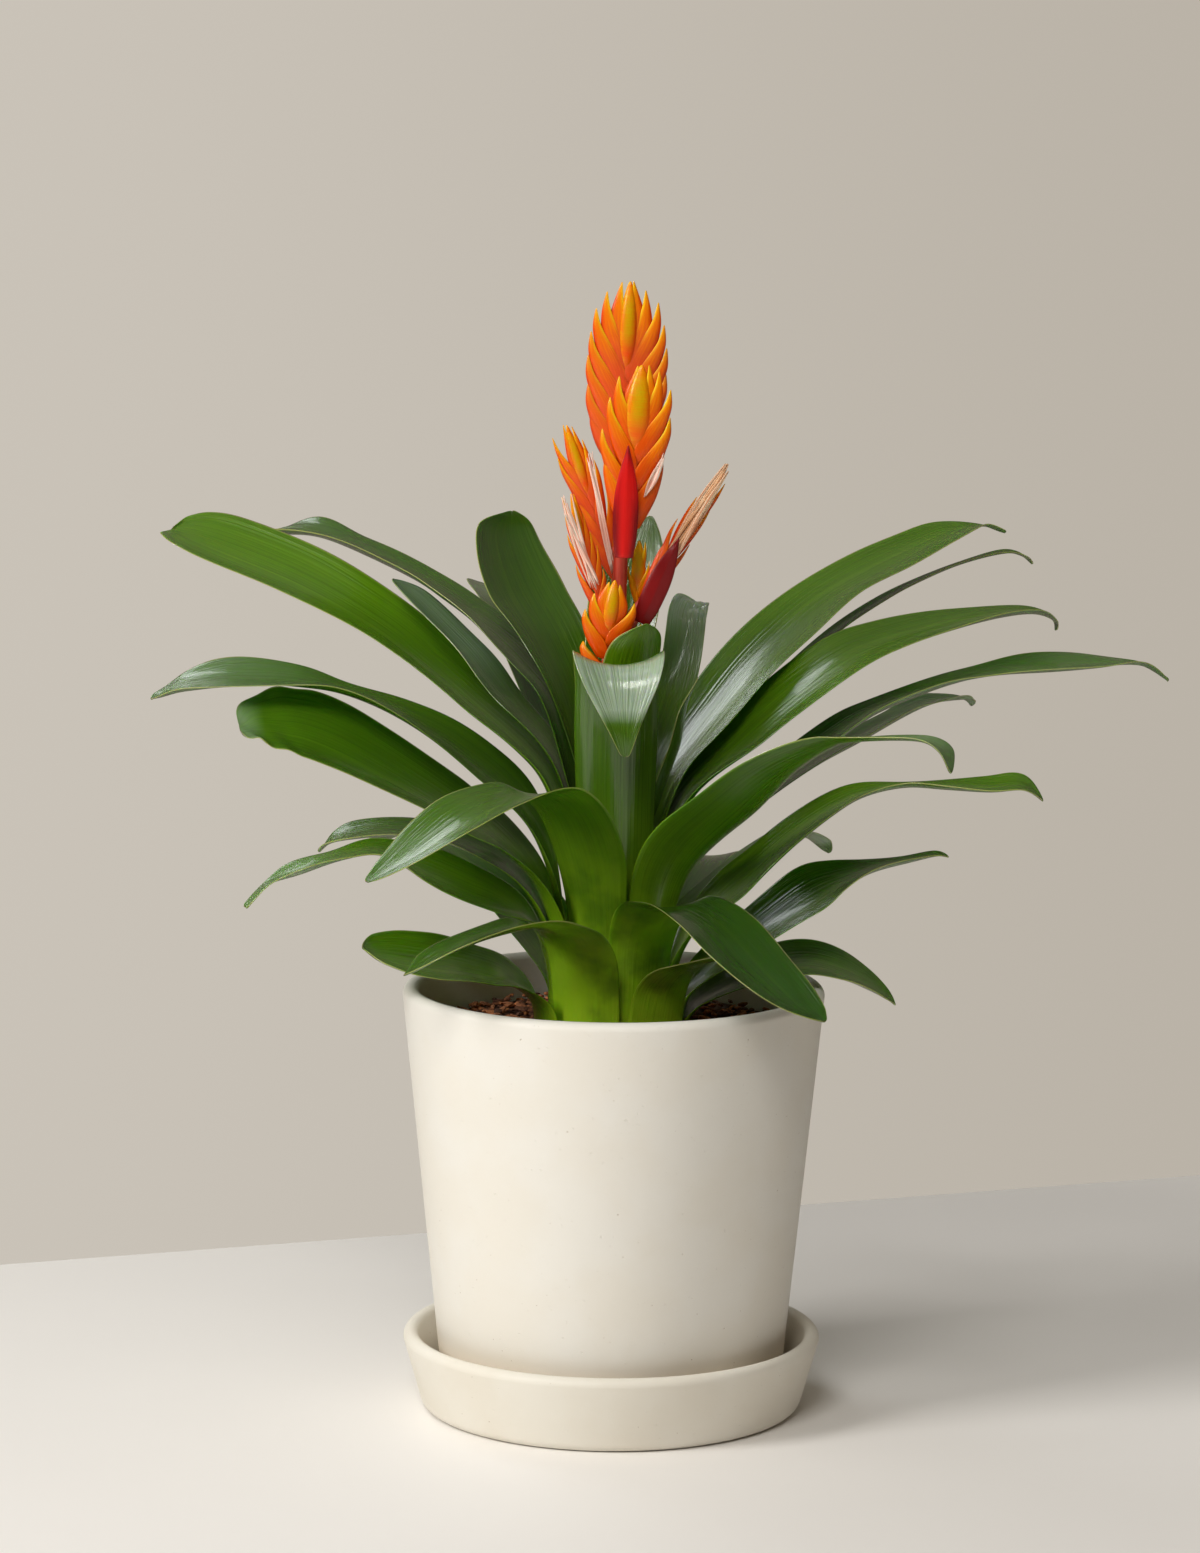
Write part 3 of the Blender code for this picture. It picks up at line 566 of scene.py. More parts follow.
# %% Where each leaf runs
# Each leaf: azimuth at its foot and at its tip (0 = +X, 90 = +Y), freshness (0 deep green,
# 1 bright yellow-green), bluntness (how many stations before its tip the end starts to round
# off), then its stations.
LEAF_FOOT = 152.5
LEAVES = {
    "front_inner": (292, 305, 0.98, 0.5, (
        (8.5, 0, 13, 0), (9, 218, 15, 0), (12, 265, 24, 0), (16, 288, 28, 0), (19, 303, 23, 0),
        (20, 310, 4, 0))),
    "back_tall": (96, 72, 0.30, 0.4, (
        (8.5, 0, 13, 0), (9.5, 228, 15, 0), (15, 265, 22, 0), (27, 297, 28, 0), (38, 325, 28, 0),
        (43, 346, 6, 0))),
    "back_right_fold": (58, 62, 0.85, 0.3, (
        (10.2, 0, 11, 0), (11, 218, 12, 0), (20, 246, 15, 6), (33, 262, 15, 12), (44, 277, 16, 20),
        (50, 289, 16, 26), (53.5, 299, 16, 28), (56, 306, 16, 28), (60, 310.5, 15.5, 20),
        (64, 311.5, 14, 12), (67, 310.5, 5, 8))),
    "back_left_tall": (136, 120, 0.25, 0.7, (
        (10.2, 0, 13, 0), (11, 228, 14, 0), (22, 271, 28, 0), (38, 298, 38, 0), (55, 315, 40, 0),
        (69, 329, 38, 5), (79, 339, 30, 10), (83, 345, 8, 10))),
    "right_small": (-18, 8, 0.25, 0.3, (
        (11.9, 0, 14, 0), (12.6, 218, 15, 0), (17.5, 241, 15, -5), (24, 261, 15, -10),
        (27, 276, 14, -10), (32, 287, 3, -10))),
    "left_high": (142, 142, 0.25, 0.5, (
        (11.9, 0, 20, 0), (12.3, 218, 21, 0), (20, 247, 30, 4), (29, 274, 36, 5), (40, 287, 38, 5),
        (58, 301, 38, 9), (78, 311, 38, 13), (99, 320, 37, 14), (139, 332, 34, 8),
        (166, 335, 30, -8), (181, 332, 4, 0))),
    "right_high": (46, 38, 0.60, 0.3, (
        (13.6, 0, 21, 0), (14.5, 208, 23, 0), (26, 241, 32, -8), (43, 259, 38, -8),
        (69, 282, 40, -5), (93, 298, 40, 0), (118, 312, 39, 0), (146, 322, 38, 3),
        (169, 330, 34, 0), (183, 335, 26, 0), (194, 336, 8, 0), (202, 333, 3, 0))),
    "left_pale": (158, 147, 0.35, 0.3, (
        (13.6, 0, 22, 0), (14.6, 208, 22, 0), (24, 251, 24, 5), (49, 279, 25, 1), (61, 292, 25, 0),
        (74, 302, 22, 0), (92, 314, 15, 0), (105, 319, 4, 0))),
    "right_main": (18, 24, 0.65, 0.3, (
        (15.3, 0, 25, 0), (17, 206, 28, 0), (29, 239, 38, 0), (52, 261, 43, 5), (69, 275, 44, 8),
        (95, 292, 43, 8), (115, 299, 40, 6), (139, 304, 36, 4), (162, 307, 30, 0),
        (179, 307, 22, 0), (190, 303, 9, 8), (193, 298, 3, 8))),
    "left_long": (158, 158, 0.90, 0.25, (
        (15.3, 0, 26, 0), (17, 203, 29, 0), (25, 239, 38, 0), (37, 258, 42, -3), (57, 275, 42, -5),
        (80, 292, 42, -6), (102, 306, 42, -10), (134, 321, 42, -18), (167, 332, 41, -20),
        (183, 336.5, 37, -14), (191.5, 337.5, 22, -8))),
    "front_upright": (270, 275, 0.40, 0.2, (
        (17, 0, 30, 0), (17.5, 203, 34, 0), (19, 243, 36, 0), (21, 266, 37, 0), (23, 285, 36, 0),
        (26.5, 294, 37.5, 0), (32, 295, 37, 0), (37, 290, 31, 0), (40, 280, 20, 0), (42, 271, 11, 0),
        (42, 262, 3, 0))),
    "right_thin": (42, 42, 0.40, 0.3, (
        (17, 0, 24, 0), (18, 196, 24, 0), (28, 229, 22, -5), (60, 260, 15, -10), (90, 281, 13, -12),
        (118, 297, 12, -14), (145, 308, 11, -14), (168, 315, 10, -12), (190, 320, 8, -8),
        (215, 323, 8, 0), (227, 321, 7, 8), (233, 317, 2, 8))),
    "front_left_arch": (248, 229, 0.40, 0.3, (
        (18.7, 0, 23, 0), (20, 178, 24, 0), (23, 201, 28, -4), (29, 219, 34, -6), (40, 237, 35, -5),
        (56, 249, 36, 0), (72, 252, 36, 3), (97, 249, 36, 0), (115, 241, 33, 3), (130, 231, 22, 8),
        (139, 224, 4, 8))),
    "right_long": (14, 14, 0.40, 0.3, (
        (18.7, 0, 27, 0), (18.9, 183, 27, 0), (26, 214, 27, 0), (46, 235, 29, 0), (73, 253, 35, 0),
        (93, 267, 35, 0), (107, 274, 32, -3), (131, 282, 28, -5), (150, 286, 26, 0),
        (172, 288, 27, 8), (195, 289, 24, 8), (214, 288, 10, 0), (226, 281, 3, 0))),
    "back_left_low": (118, 114, 0.35, 0.5, (
        (18.7, 0, 24, 0), (20, 178, 24, 0), (26, 218, 24, 0), (38, 246, 24, 0), (52, 265, 27, 6),
        (74, 288, 32, 10), (96, 304, 31, 12), (120, 311, 24, 8), (133, 311, 5, 5))),
    "back_mid": (95, 95, 0.45, 0.4, (
        (20.4, 0, 24, 0), (22, 173, 24, 0), (32, 203, 30, 0), (56, 235, 35, 0), (92, 259, 38, -4),
        (130, 269, 36, -4), (160, 264, 26, 0), (176, 254, 4, 0))),
    "right_behind": (34, 40, 0.40, 0.3, (
        (20.4, 0, 17, 0), (21.5, 188, 17, 0), (34, 215, 22, 0), (60, 233, 27, 0), (90, 246, 28, -5),
        (115, 254, 28, -10), (141, 263, 25, -12), (158, 267, 20, -5), (177, 267, 12, 4),
        (186, 265, 8, 4), (191, 262, 3, 0))),
    "left_flat": (183, 178, 0.30, 0.4, (
        (20.4, 0, 22, 0), (22, 193, 23, 0), (29, 222, 28, -10), (40, 242, 34, -18),
        (61, 261, 36, -14), (83, 274, 34, -6), (104, 282, 30, 0), (122, 286, 33, -8),
        (147, 287, 34, -10), (165, 284, 30, -10), (176, 279, 16, -6), (180, 277, 4, 0))),
    "right_front": (326, 330, 0.50, 0.3, (
        (20.4, 0, 28, 0), (21, 183, 28, 0), (25, 207, 35, -10), (35, 224, 41, -15),
        (50, 239, 42, -15), (67, 254, 40, -12), (81, 263, 34, -10), (94, 269, 26, -8),
        (103, 271, 18, -6), (122, 273, 15, -6), (135, 273, 16, -6), (142, 269, 15, -4),
        (144, 261, 4, 0))),
    "left_broad": (188, 188, 0.50, 0.3, (
        (22.1, 0, 32, 0), (24, 183, 34, 0), (31, 207, 37, -8), (44, 224, 42, -14),
        (57, 234, 43, -18), (70, 243, 44, -20), (92, 256, 44, -28), (109, 265, 44, -32),
        (123, 270, 43, -30), (137, 271.5, 39, -22), (145, 269, 24, -14))),
    "right_mid": (358, 356, 0.65, 0.3, (
        (22.1, 0, 25, 0), (24, 173, 25, 0), (33, 192, 30, 8), (46, 205, 37, 16), (57, 216, 38, 13),
        (69, 227, 37, 10), (84, 238, 34, 6), (96, 244, 27, 2), (112, 247, 17, -4),
        (127, 247, 23, 0), (144, 247, 27, 4), (157, 248, 22, 6), (165, 242, 4, 0))),
    "back_right_low": (54, 50, 0.70, 0.3, (
        (23.8, 0, 30, 0), (26, 169, 31, 0), (44, 186, 26, -15), (71, 200, 20, -20),
        (93, 209, 17, -15), (117, 213, 17, -5), (131, 209, 14, 0), (137, 203, 3, 0))),
    "left_under": (170, 169, 0.70, 0.3, (
        (23.8, 0, 27, 0), (24.4, 175, 28, 0), (28.5, 193, 32, 0), (37, 207, 32, -2),
        (50, 217, 32, -3), (65, 223, 31, -4), (85, 225, 31, -6), (104, 223, 30, -6),
        (113, 220, 20, -5), (118, 215, 4, 0))),
    "front_right_droop": (295, 308, 0.0, 0.3, (
        (25.5, 0, 26, 0), (25.5, 171, 26, 0), (28, 187, 30, 0), (37, 200, 35, 0), (48, 206, 37, 0),
        (63, 206, 39, -6), (79, 201, 39, -6), (94, 192, 38, -5), (109, 183, 33, -6),
        (119, 176, 22, -8), (126, 172, 4, -8))),
    "left_twist": (198, 198, 0.65, 0.2, (
        (25.5, 0, 29, 0), (26, 173, 29, 0), (34, 193, 33, -10), (48, 203, 36, -20),
        (65, 211, 36, -25), (78, 217, 32, -22), (95, 224, 24, -6), (112, 222, 20, 0),
        (128, 217, 22, 0), (140, 212, 9, 5), (147, 204, 3, 5))),
    "back_low": (74, 70, 0.45, 0.4, (
        (25.5, 0, 33, 0), (27, 164, 34, 0), (41, 177, 36, 0), (68, 193, 37, 5), (100, 203, 36, 5),
        (128, 199, 24, 0), (142, 190, 4, 0))),
    "right_low_long": (6, 6, 0.60, 0.2, (
        (27.2, 0, 29, 0), (30, 164, 30, 3), (45, 179, 34, 12), (66, 195, 38, 18), (78, 203, 38, 19),
        (88, 208, 34, 10), (100, 212, 26, 2), (115, 215, 19, -4), (126, 217, 11, -4),
        (131, 216, 3, 0))),
    "back_low_left": (125, 134, 0.45, 0.4, (
        (27.2, 0, 31, 0), (29, 164, 31, 0), (43, 178, 36, 0), (70, 197, 36, -5), (102, 211, 35, -5),
        (132, 211, 24, 0), (148, 202, 4, 0))),
    "front_left_low": (246, 226, 0.30, 0.3, (
        (28.9, 0, 29, 0), (30, 169, 30, 0), (35, 184, 34, -8), (45, 194, 34, -2), (57, 199, 31, 2),
        (68, 200, 29, 5), (87, 198, 28, 12), (102, 193, 23, 16), (113, 185, 4, 16))),
    "right_low": (4, 2, 0.50, 0.4, (
        (28.9, 0, 30, 0), (34, 160, 31, 4), (47, 168, 34, 8), (62, 174, 37, 12), (76, 176, 36, 12),
        (89, 173, 34, 12), (99, 168, 28, 10), (106, 163, 16, 6), (110, 159, 4, 0))),
    "left_low": (196, 196, 1.0, 0.6, (
        (30.6, 0, 34, 0), (33, 162, 36, -4), (42, 171, 38, -10), (52, 175, 40, -15),
        (63, 178, 41, -16), (75, 180, 41, -17), (86, 182, 38, -18), (95, 184, 28, -14),
        (100, 186, 10, -6))),
    "front_right_stub": (305, 317, 0.45, 0.3, (
        (30.6, 0, 27, 0), (31, 160, 27, 0), (34, 171, 27, 0), (44, 180, 26, 0), (57, 185, 15, 4),
        (65, 187, 3, 0))),
}
print("leaves", len(LEAVES))

# %% Crumples and painted sheen
# Crumples: where they start along the leaf, depth in mm, folds along and across.
CRUMPLES = {
    "left_broad": (0.76, 1.0, 2.4, 0.7), "front_upright": (0.55, 0.35, 2.0, 2.5),
    "left_flat": (0.50, 0.7, 2.2, 0.8), "left_twist": (0.60, 0.8, 1.6, 0.5),
    "right_behind": (0.50, 0.8, 2.5, 1.2), "right_long": (0.50, 0.6, 2.5, 1.0),
    "left_high": (0.70, 0.6, 2.0, 1.0), "back_right_fold": (0.60, 0.6, 1.5, 1.8),
}

# Painted sheen, pale grey-green painted highlights where the waxy skin glances light: how strong, then
# where along the leaf it starts, is full and ends.
SHEEN_PAINTING = {
    "front_upright": (0.90, 0.44, 0.50, 0.77), "back_right_fold": (0.95, 0.30, 0.60, 1.3),
    "left_pale": (0.50, 0.30, 0.50, 1.2), "left_flat": (0.14, 0.45, 0.60, 1.0),
    "right_long": (0.10, 0.45, 0.60, 1.1), "left_twist": (0.20, 0.55, 0.70, 1.0),
    "right_behind": (0.30, 0.40, 0.60, 1.2), "left_broad": (0.25, 0.80, 0.90, 1.1),
    "right_front": (0.25, 0.60, 0.70, 1.0), "back_tall": (0.20, 0.60, 0.80, 1.2),
    "front_left_arch": (0.03, 0.55, 0.70, 1.2), "left_high": (0.05, 0.60, 0.75, 1.2),
    "back_left_low": (0.25, 0.60, 0.75, 1.2), "back_right_low": (0.35, 0.40, 0.55, 0.85),
}
NO_CRUMPLE = (1.0, 0.0, 1.0, 1.0)
NO_SHEEN_PAINTING = (0.0, 0.0, 1.0, 1.0)


# %% Leaf curves
def through(points, position):
    """Smooth curve through tuples of numbers; position runs from 0 to len(points) - 1."""
    index = min(int(position), len(points) - 2)
    part = position - index
    before = points[max(index - 1, 0)]
    start = points[index]
    end = points[index + 1]
    after = points[min(index + 2, len(points) - 1)]
    value = []
    for a, b, c, d in zip(before, start, end, after):
        value.append(0.5 * (2 * b + (c - a) * part + (2 * a - 5 * b + 4 * c - d) * part ** 2
                            + (3 * b - a - 3 * c + d) * part ** 3))
    return value


WRAP_LIMIT = math.radians(56)
GUTTER = math.radians(24)
TUBE_REACH = 30
OPENING_REACH = 25
NARROWEST_BLADE = 1.6
SLOPE_STEP = 0.05


def leaf_section(leaf, position):
    """Centre, direction across, direction of the upper face, half width, wrap angle, freedom."""
    foot_azimuth, tip_azimuth, _, blunt, stations = leaf
    last = len(stations) - 1
    grounded = [(reach, max(height, LEAF_FOOT), width, roll)
                for reach, height, width, roll in stations]
    reach, height, width, roll = through(grounded, position)
    behind = through(grounded, max(position - SLOPE_STEP, 0))
    ahead = through(grounded, min(position + SLOPE_STEP, last))
    run = math.atan2(ahead[1] - behind[1], ahead[0] - behind[0])
    azimuth = math.radians(foot_azimuth + (tip_azimuth - foot_azimuth) * (position / last) ** 2)
    outward = Vector((math.cos(azimuth), math.sin(azimuth), 0))
    across = Vector((-math.sin(azimuth), math.cos(azimuth), 0))
    along = outward * math.cos(run) + Vector((0, 0, math.sin(run)))
    turn = Matrix.Rotation(math.radians(roll), 3, along)
    upper = turn @ along.cross(across)
    half = max(width, NARROWEST_BLADE) / 2
    free = min(max((reach - TUBE_REACH) / OPENING_REACH, 0), 1)
    wrap = min(max(half / max(reach, 1), GUTTER * free), WRAP_LIMIT)
    hollow = half / wrap * (1 - math.cos(wrap))
    center = outward * reach + Vector((0, 0, height)) - upper * hollow * free / 2
    nearing = min((last - position) / blunt, 1)
    rounding = math.sqrt(max(1 - (1 - nearing) ** 2, 0.004))
    return center, turn @ across, upper, half * rounding, wrap, free


# %% A thin sheet of tissue
def laid_sheet(rows, columns, lay):
    """A grid whose points are laid by lay(along, across), with along 0..1 and across -1..1."""
    select_nothing()
    bpy.ops.mesh.primitive_grid_add(x_subdivisions=rows, y_subdivisions=columns, size=2)
    sheet = bpy.context.object
    for vertex in sheet.data.vertices:
        vertex.co = lay((vertex.co.x + 1) / 2, vertex.co.y) * MM
    return sheet


def thicken(sheet, thickness, rounds=1):
    """Give a sheet its thickness and round its edges."""
    select_only(sheet)
    wall = sheet.modifiers.new("wall", "SOLIDIFY")
    wall.thickness = thickness * MM
    wall.offset = 0
    bpy.ops.object.modifier_apply(modifier=wall.name)
    if rounds:
        soften = sheet.modifiers.new("soften", "SUBSURF")
        soften.levels = rounds
        soften.render_levels = rounds
        bpy.ops.object.modifier_apply(modifier=soften.name)
    bpy.ops.object.shade_smooth()
    return sheet


def paint_value(item, name, value):
    """Store one number on every point, for the finish to read."""
    layer = item.data.attributes.new(name, "FLOAT", "POINT")
    layer.data.foreach_set("value", [value] * len(item.data.vertices))


# %% [markdown]
# ### The leaf finish
# The tissue is deep green with fine parallel veins, yellower near the base where it is young and lightened
# there as painted light, with a hair-thin pale margin that is a painted highlight of light caught along
# the edges, and a dry brown point. Its waxy skin gives soft wide highlights.
# One finish reads the leaf's own map: along it for the base and point, across it for the veins and margin.
# Freshness comes from a number painted on each leaf, and the painted sheen, a painted highlight, from
# another.

# %% Leaf finish
DEEP_GREEN = (0.023, 0.067, 0.005, 1)
BRIGHT_GREEN = (0.108, 0.230, 0.003, 1)
BLOTCH_GREEN = (0.062, 0.145, 0.003, 1)
BAND_GREEN = (0.140, 0.255, 0.010, 1)
VEIN_GREEN = (0.022, 0.052, 0.003, 1)
YOUNG_AND_LIT_GREEN = (0.260, 0.450, 0.012, 1)
EDGE_HIGHLIGHT_STRAW = (0.40, 0.38, 0.13, 1)
PAINTED_SHEEN_GREY = (0.36, 0.45, 0.35, 1)
POINT_BROWN = (0.14, 0.12, 0.04, 1)


def make_leaf_green():
    material, tree, shader = new_finish("leaf_green")
    leaf_map = own_map(tree)
    along, across, _ = parts_of(tree, leaf_map)
    place = object_place(tree)
    fresh = own_value(tree, "freshness")
    colour = blend_colours(tree, fresh, DEEP_GREEN, BRIGHT_GREEN)
    lively = span(tree, fresh, 0.0, 1.0, 0.08, 0.42)
    blotches = span(tree, cloud(tree, place, 22.0, 3.0), 0.3, 0.7)
    colour = blend_colours(tree, times(tree, blotches, lively), colour, BLOTCH_GREEN)
    bands = cloud(tree, stretched(tree, leaf_map, (1.5, 9, 1)), 1.0, 2.0)
    bands = span(tree, bands, 0.45, 0.75, 0.0, 0.8)
    colour = blend_colours(tree, times(tree, bands, lively), colour, BAND_GREEN)
    veins = cloud(tree, stretched(tree, leaf_map, (2.5, 70, 1)), 1.0, 3.0, 0.6)
    colour = blend_colours(tree, span(tree, veins, 0.35, 0.75, 0.0, 0.5), colour, VEIN_GREEN)
    # Near the axis and low down the leaves are yellower where young, and brightened further as painted
    # light where the sheaths in the heart catch light.
    radius = tree.nodes.new("ShaderNodeVectorMath")
    radius.operation = "LENGTH"
    feed(tree, radius.inputs[0], stretched(tree, place, (1, 1, 0)))
    heart = span(tree, radius.outputs["Value"], 0.030, 0.052, 1.0, 0.0)
    low = times(tree, heart, span(tree, parts_of(tree, place)[2], 0.155, 0.250, 1.0, 0.0))
    patches = span(tree, cloud(tree, place, 60.0, 3.0), 0.25, 0.60, 0.25, 1.0)
    colour = blend_colours(tree, times(tree, low, patches), colour, YOUNG_AND_LIT_GREEN)
    # The pale margin is a painted highlight: light caught along both leaf edges, faded out near the base.
    margin = times(tree, span(tree, off_middle(tree, across), 0.474, 0.490),
                   span(tree, along, 0.25, 0.55, 0.0, 0.65))
    colour = blend_colours(tree, margin, colour, EDGE_HIGHLIGHT_STRAW)
    # Painted sheen: streaky pale grey-green painted highlights, following the veins, where the waxy skin
    # glances light.
    painted_sheen = times(tree, own_value(tree, "painted_sheen"), span(tree, veins, 0.30, 0.6, 0.50, 1.0))
    colour = blend_colours(tree, painted_sheen, colour, PAINTED_SHEEN_GREY)
    colour = blend_colours(tree, span(tree, along, 0.985, 0.998), colour, POINT_BROWN)
    ripples = cloud(tree, stretched(tree, leaf_map, (3, 22, 1)), 1.0, 2.0)
    skin = bumps(tree, ripples, 0.0012, 0.40, bumps(tree, veins, 0.0003, 0.25))
    dress(tree, shader, colour, skin, span(tree, veins, 0.3, 0.7, 0.15, 0.27), {
        "Specular IOR Level": 0.5, "Coat Weight": 0.35, "Coat Roughness": 0.10,
        "Subsurface Weight": 0.5, "Subsurface Radius": (0.5, 1.0, 0.15),
        "Subsurface Scale": 0.0025})
    return material


leaf_green = make_leaf_green()

# %% Lay the leaves
LEAF_THICKNESS = 0.55
LEAF_ROWS, LEAF_COLUMNS = 60, 10
TIP_CROWDING = 1.35
EDGE_WAVE = 0.5
EDGE_WAVES = 16
SHEEN_FADE = 0.07


def paint_sheen(blade, painted_sheen):
    """Paint how strong the painted sheen, a painted highlight, is on each point of a flat grid whose map
    is still along, across.
    """
    amount, start, full, end = painted_sheen
    layer = blade.data.attributes.new("painted_sheen", "FLOAT", "POINT")
    leaf_map = blade.data.uv_layers[0].data
    for loop in blade.data.loops:
        along = leaf_map[loop.index].uv.x
        rising = min(max((along - start) / (full - start), 0), 1)
        fading = min(max((end - along) / SHEEN_FADE, 0), 1)
        layer.data[loop.vertex_index].value = amount * rising * fading


def build_leaf(number, name, leaf):
    start, depth, folds_along, folds_across = CRUMPLES.get(name, NO_CRUMPLE)
    last = len(leaf[4]) - 1

    def lay(along, across):
        position = last * (1 - (1 - along) ** TIP_CROWDING)
        center, sideways, upper, half, wrap, free = leaf_section(leaf, position)
        bend = half / wrap
        angle = across * wrap
        place = center + sideways * bend * math.sin(angle) + upper * bend * (1 - math.cos(angle))
        share = position / last
        ripple = math.sin(EDGE_WAVES * share + 2.1 * number + 1.5 * across)
        edge_wave = EDGE_WAVE * free * abs(across) ** 3 * ripple
        onset = max(share - start, 0) / (1 - start) if depth else 0
        folds = folds_along * onset + folds_across * across
        fold = depth * min(onset * 3, 1) * math.sin(2 * math.pi * folds)
        place += upper * (edge_wave + fold * (0.3 + 0.7 * across * across))
        place.z = max(place.z, LEAF_FOOT - 2.5)
        return place

    blade = laid_sheet(LEAF_ROWS, LEAF_COLUMNS, lay)
    paint_sheen(blade, SHEEN_PAINTING.get(name, NO_SHEEN_PAINTING))
    thicken(blade, LEAF_THICKNESS)
    paint_value(blade, "freshness", leaf[2])
    hand_over(blade, "blade_" + name, "leaf_" + name, leaf_green)


for number, (name, leaf) in enumerate(LEAVES.items()):
    build_leaf(number, name, leaf)

# %% [markdown]
# ## The flower head
# Each spike is a flat two-rowed fan. A bract is folded like the bow of a boat: its keel points
# outwards, its sides wrap the spike in front and behind, and its tip hooks inwards. Bracts
# overlap like braid, the lower ones outside. They could be plain cones, but the folded shape is
# what makes the fan, so each bract is a sheet laid round its own keel.

# %% [markdown]
# ### The bract finish
# A bract is waxy and runs from red at its foot through orange to yellow at its tip, with a
# darker keel and a thin yellow margin. It could be coloured by height, but then all bracts would
# change at one level; each bract's own map gives it the whole run.

# %% Bract finishes
BUD_OLIVE = (0.54, 0.37, 0.000, 1)


def make_bract_finish(name, base, body, tip, keel, margin):
    """Five colours: foot, middle and tip of a bract, its keel, and its thin margin."""
    material, tree, shader = new_finish(name)
    bract_map = own_map(tree)
    along, across, _ = parts_of(tree, bract_map)
    streaks = cloud(tree, stretched(tree, bract_map, (2, 26, 1)), 1.0, 3.0, 0.6)
    drift = sums(tree, "ADD", along, times(tree, sums(tree, "SUBTRACT", streaks, 0.5), 0.75))
    colour = blend_colours(tree, span(tree, drift, 0.30, 0.72), base, body)
    colour = blend_colours(tree, span(tree, drift, 0.74, 1.02), colour, tip)
    to_keel = off_middle(tree, across)
    on_keel = times(tree, span(tree, to_keel, 0.05, 0.34, 1.0, 0.0),
                    span(tree, along, 0.72, 0.98, 0.95, 0.15))
    colour = blend_colours(tree, on_keel, colour, keel)
    on_margin = times(tree, span(tree, to_keel, 0.36, 0.49),
                      span(tree, along, 0.50, 0.85, 0.0, 0.9))
    colour = blend_colours(tree, on_margin, colour, margin)
    colour = blend_colours(tree, times(tree, own_value(tree, "blush"), 0.8), colour, base)
    green = times(tree, own_value(tree, "middle"), span(tree, streaks, 0.2, 0.6, 0.7, 1.0))
    colour = blend_colours(tree, green, colour, BUD_OLIVE)
    dress(tree, shader, colour, bumps(tree, streaks, 0.0004, 0.35),
          span(tree, streaks, 0.3, 0.7, 0.28, 0.42), {
              "Specular IOR Level": 0.16, "Coat Weight": 0.22, "Coat Roughness": 0.12,
              "Subsurface Weight": 0.3, "Subsurface Radius": (1.0, 0.35, 0.08),
              "Subsurface Scale": 0.0015})
    return material


ORANGE_BRACT = make_bract_finish("orange_bract", (0.80, 0.085, 0.018, 1), (0.94, 0.195, 0.000, 1),
                                 (0.95, 0.44, 0.000, 1), (0.76, 0.030, 0.000, 1), (0.98, 0.60, 0.010, 1))
GOLD_BRACT = make_bract_finish("gold_bract", (0.80, 0.080, 0.000, 1), (0.90, 0.21, 0.000, 1),
                               (0.95, 0.50, 0.000, 1), (0.82, 0.075, 0.000, 1), (0.98, 0.66, 0.010, 1))
YELLOW_BRACT = make_bract_finish("yellow_bract", (0.90, 0.27, 0.000, 1), (0.96, 0.50, 0.000, 1),
                                 (0.96, 0.60, 0.000, 1), (0.88, 0.20, 0.000, 1), (0.98, 0.62, 0.010, 1))

# %% Spikes
# Each spike: foot and end of its axis, half width and height of its bud, finish, blush of its
# lowest bracts, then where the tips of its bracts are: out from the axis, up from the foot,
# for the left row and for the right row, from the lowest to the highest.
SPIKES = {
    "top": (
        (2, 9, 366), (4.5, 9, 440), (4.5, 40), ORANGE_BRACT, 0.9,
        ((13.0, 24), (15.3, 33.5), (15.8, 44.3), (15.0, 53.3), (13.3, 62.3), (9.2, 68.8), (3.4, 72.6)),
        ((13.0, 27), (15.8, 38), (15.7, 48), (14.3, 56.8), (11.6, 65.3), (6.4, 69.8), (1.4, 73.1))),
    "front": (
        (5, -9, 345), (9, -9, 409), (6.3, 38), GOLD_BRACT, 0.25,
        ((11.5, 29), (14.0, 38), (11.8, 50.2), (8.7, 58.4), (1.6, 62.8)),
        ((10.2, 31), (12.7, 44), (12.2, 54.5), (7.2, 61.2), (3.0, 63.2))),
    "left": (
        (-0.5, 5, 325), (-20, 5, 385), (2.8, 34), ORANGE_BRACT, 0.6,
        ((3.6, 26), (4.2, 38), (7.4, 51), (7.0, 59), (1.3, 62.6)),
        ((5.0, 22), (7.3, 34), (6.3, 46), (4.2, 55), (1.8, 61))),
    "low_left": (
        (-6, -4, 312), (-18, -4, 359.5), (2.3, 27), ORANGE_BRACT, 0.4,
        ((5.0, 21), (5.4, 33), (4.5, 40), (3.9, 47.5)),
        ((5.2, 17), (5.0, 26.4), (3.6, 32.1), (2.4, 40), (0.9, 47.6))),
    "low_front": (
        (-5, -11, 289.5), (-0.5, -11, 327), (4.1, 24), GOLD_BRACT, 0.3,
        ((9.6, 12), (10.4, 24.3), (7.6, 30.8), (2.3, 35.8)),
        ((10.0, 11), (12.6, 21), (8.9, 28.8), (2.2, 35.2))),
    "small": (
        (8.0, 2.6, 311), (8.6, 2.6, 341), (3.2, 23), YELLOW_BRACT, 0.0,
        ((4.2, 19), (1.8, 27.8)), ((4.2, 21), (2.4, 28.4))),
    "right": (
        (10, 1, 317), (41, 1, 368), (1.8, 16), ORANGE_BRACT, 0.9,
        ((4.6, 24), (5.4, 34), (3.4, 45)), ((4.2, 28), (3.9, 43), (3.4, 55))),
}
BRACT_THICKNESS = 0.24
BRACT_SHARE = 0.47
BRACT_WRAP, WRAP_LOST, ROW_STAGGER = 3.8, 1.9, 0.08
FULL_FAN = 11
BUD_HALF_DEPTH = 3.3
FOLD = math.radians(112)
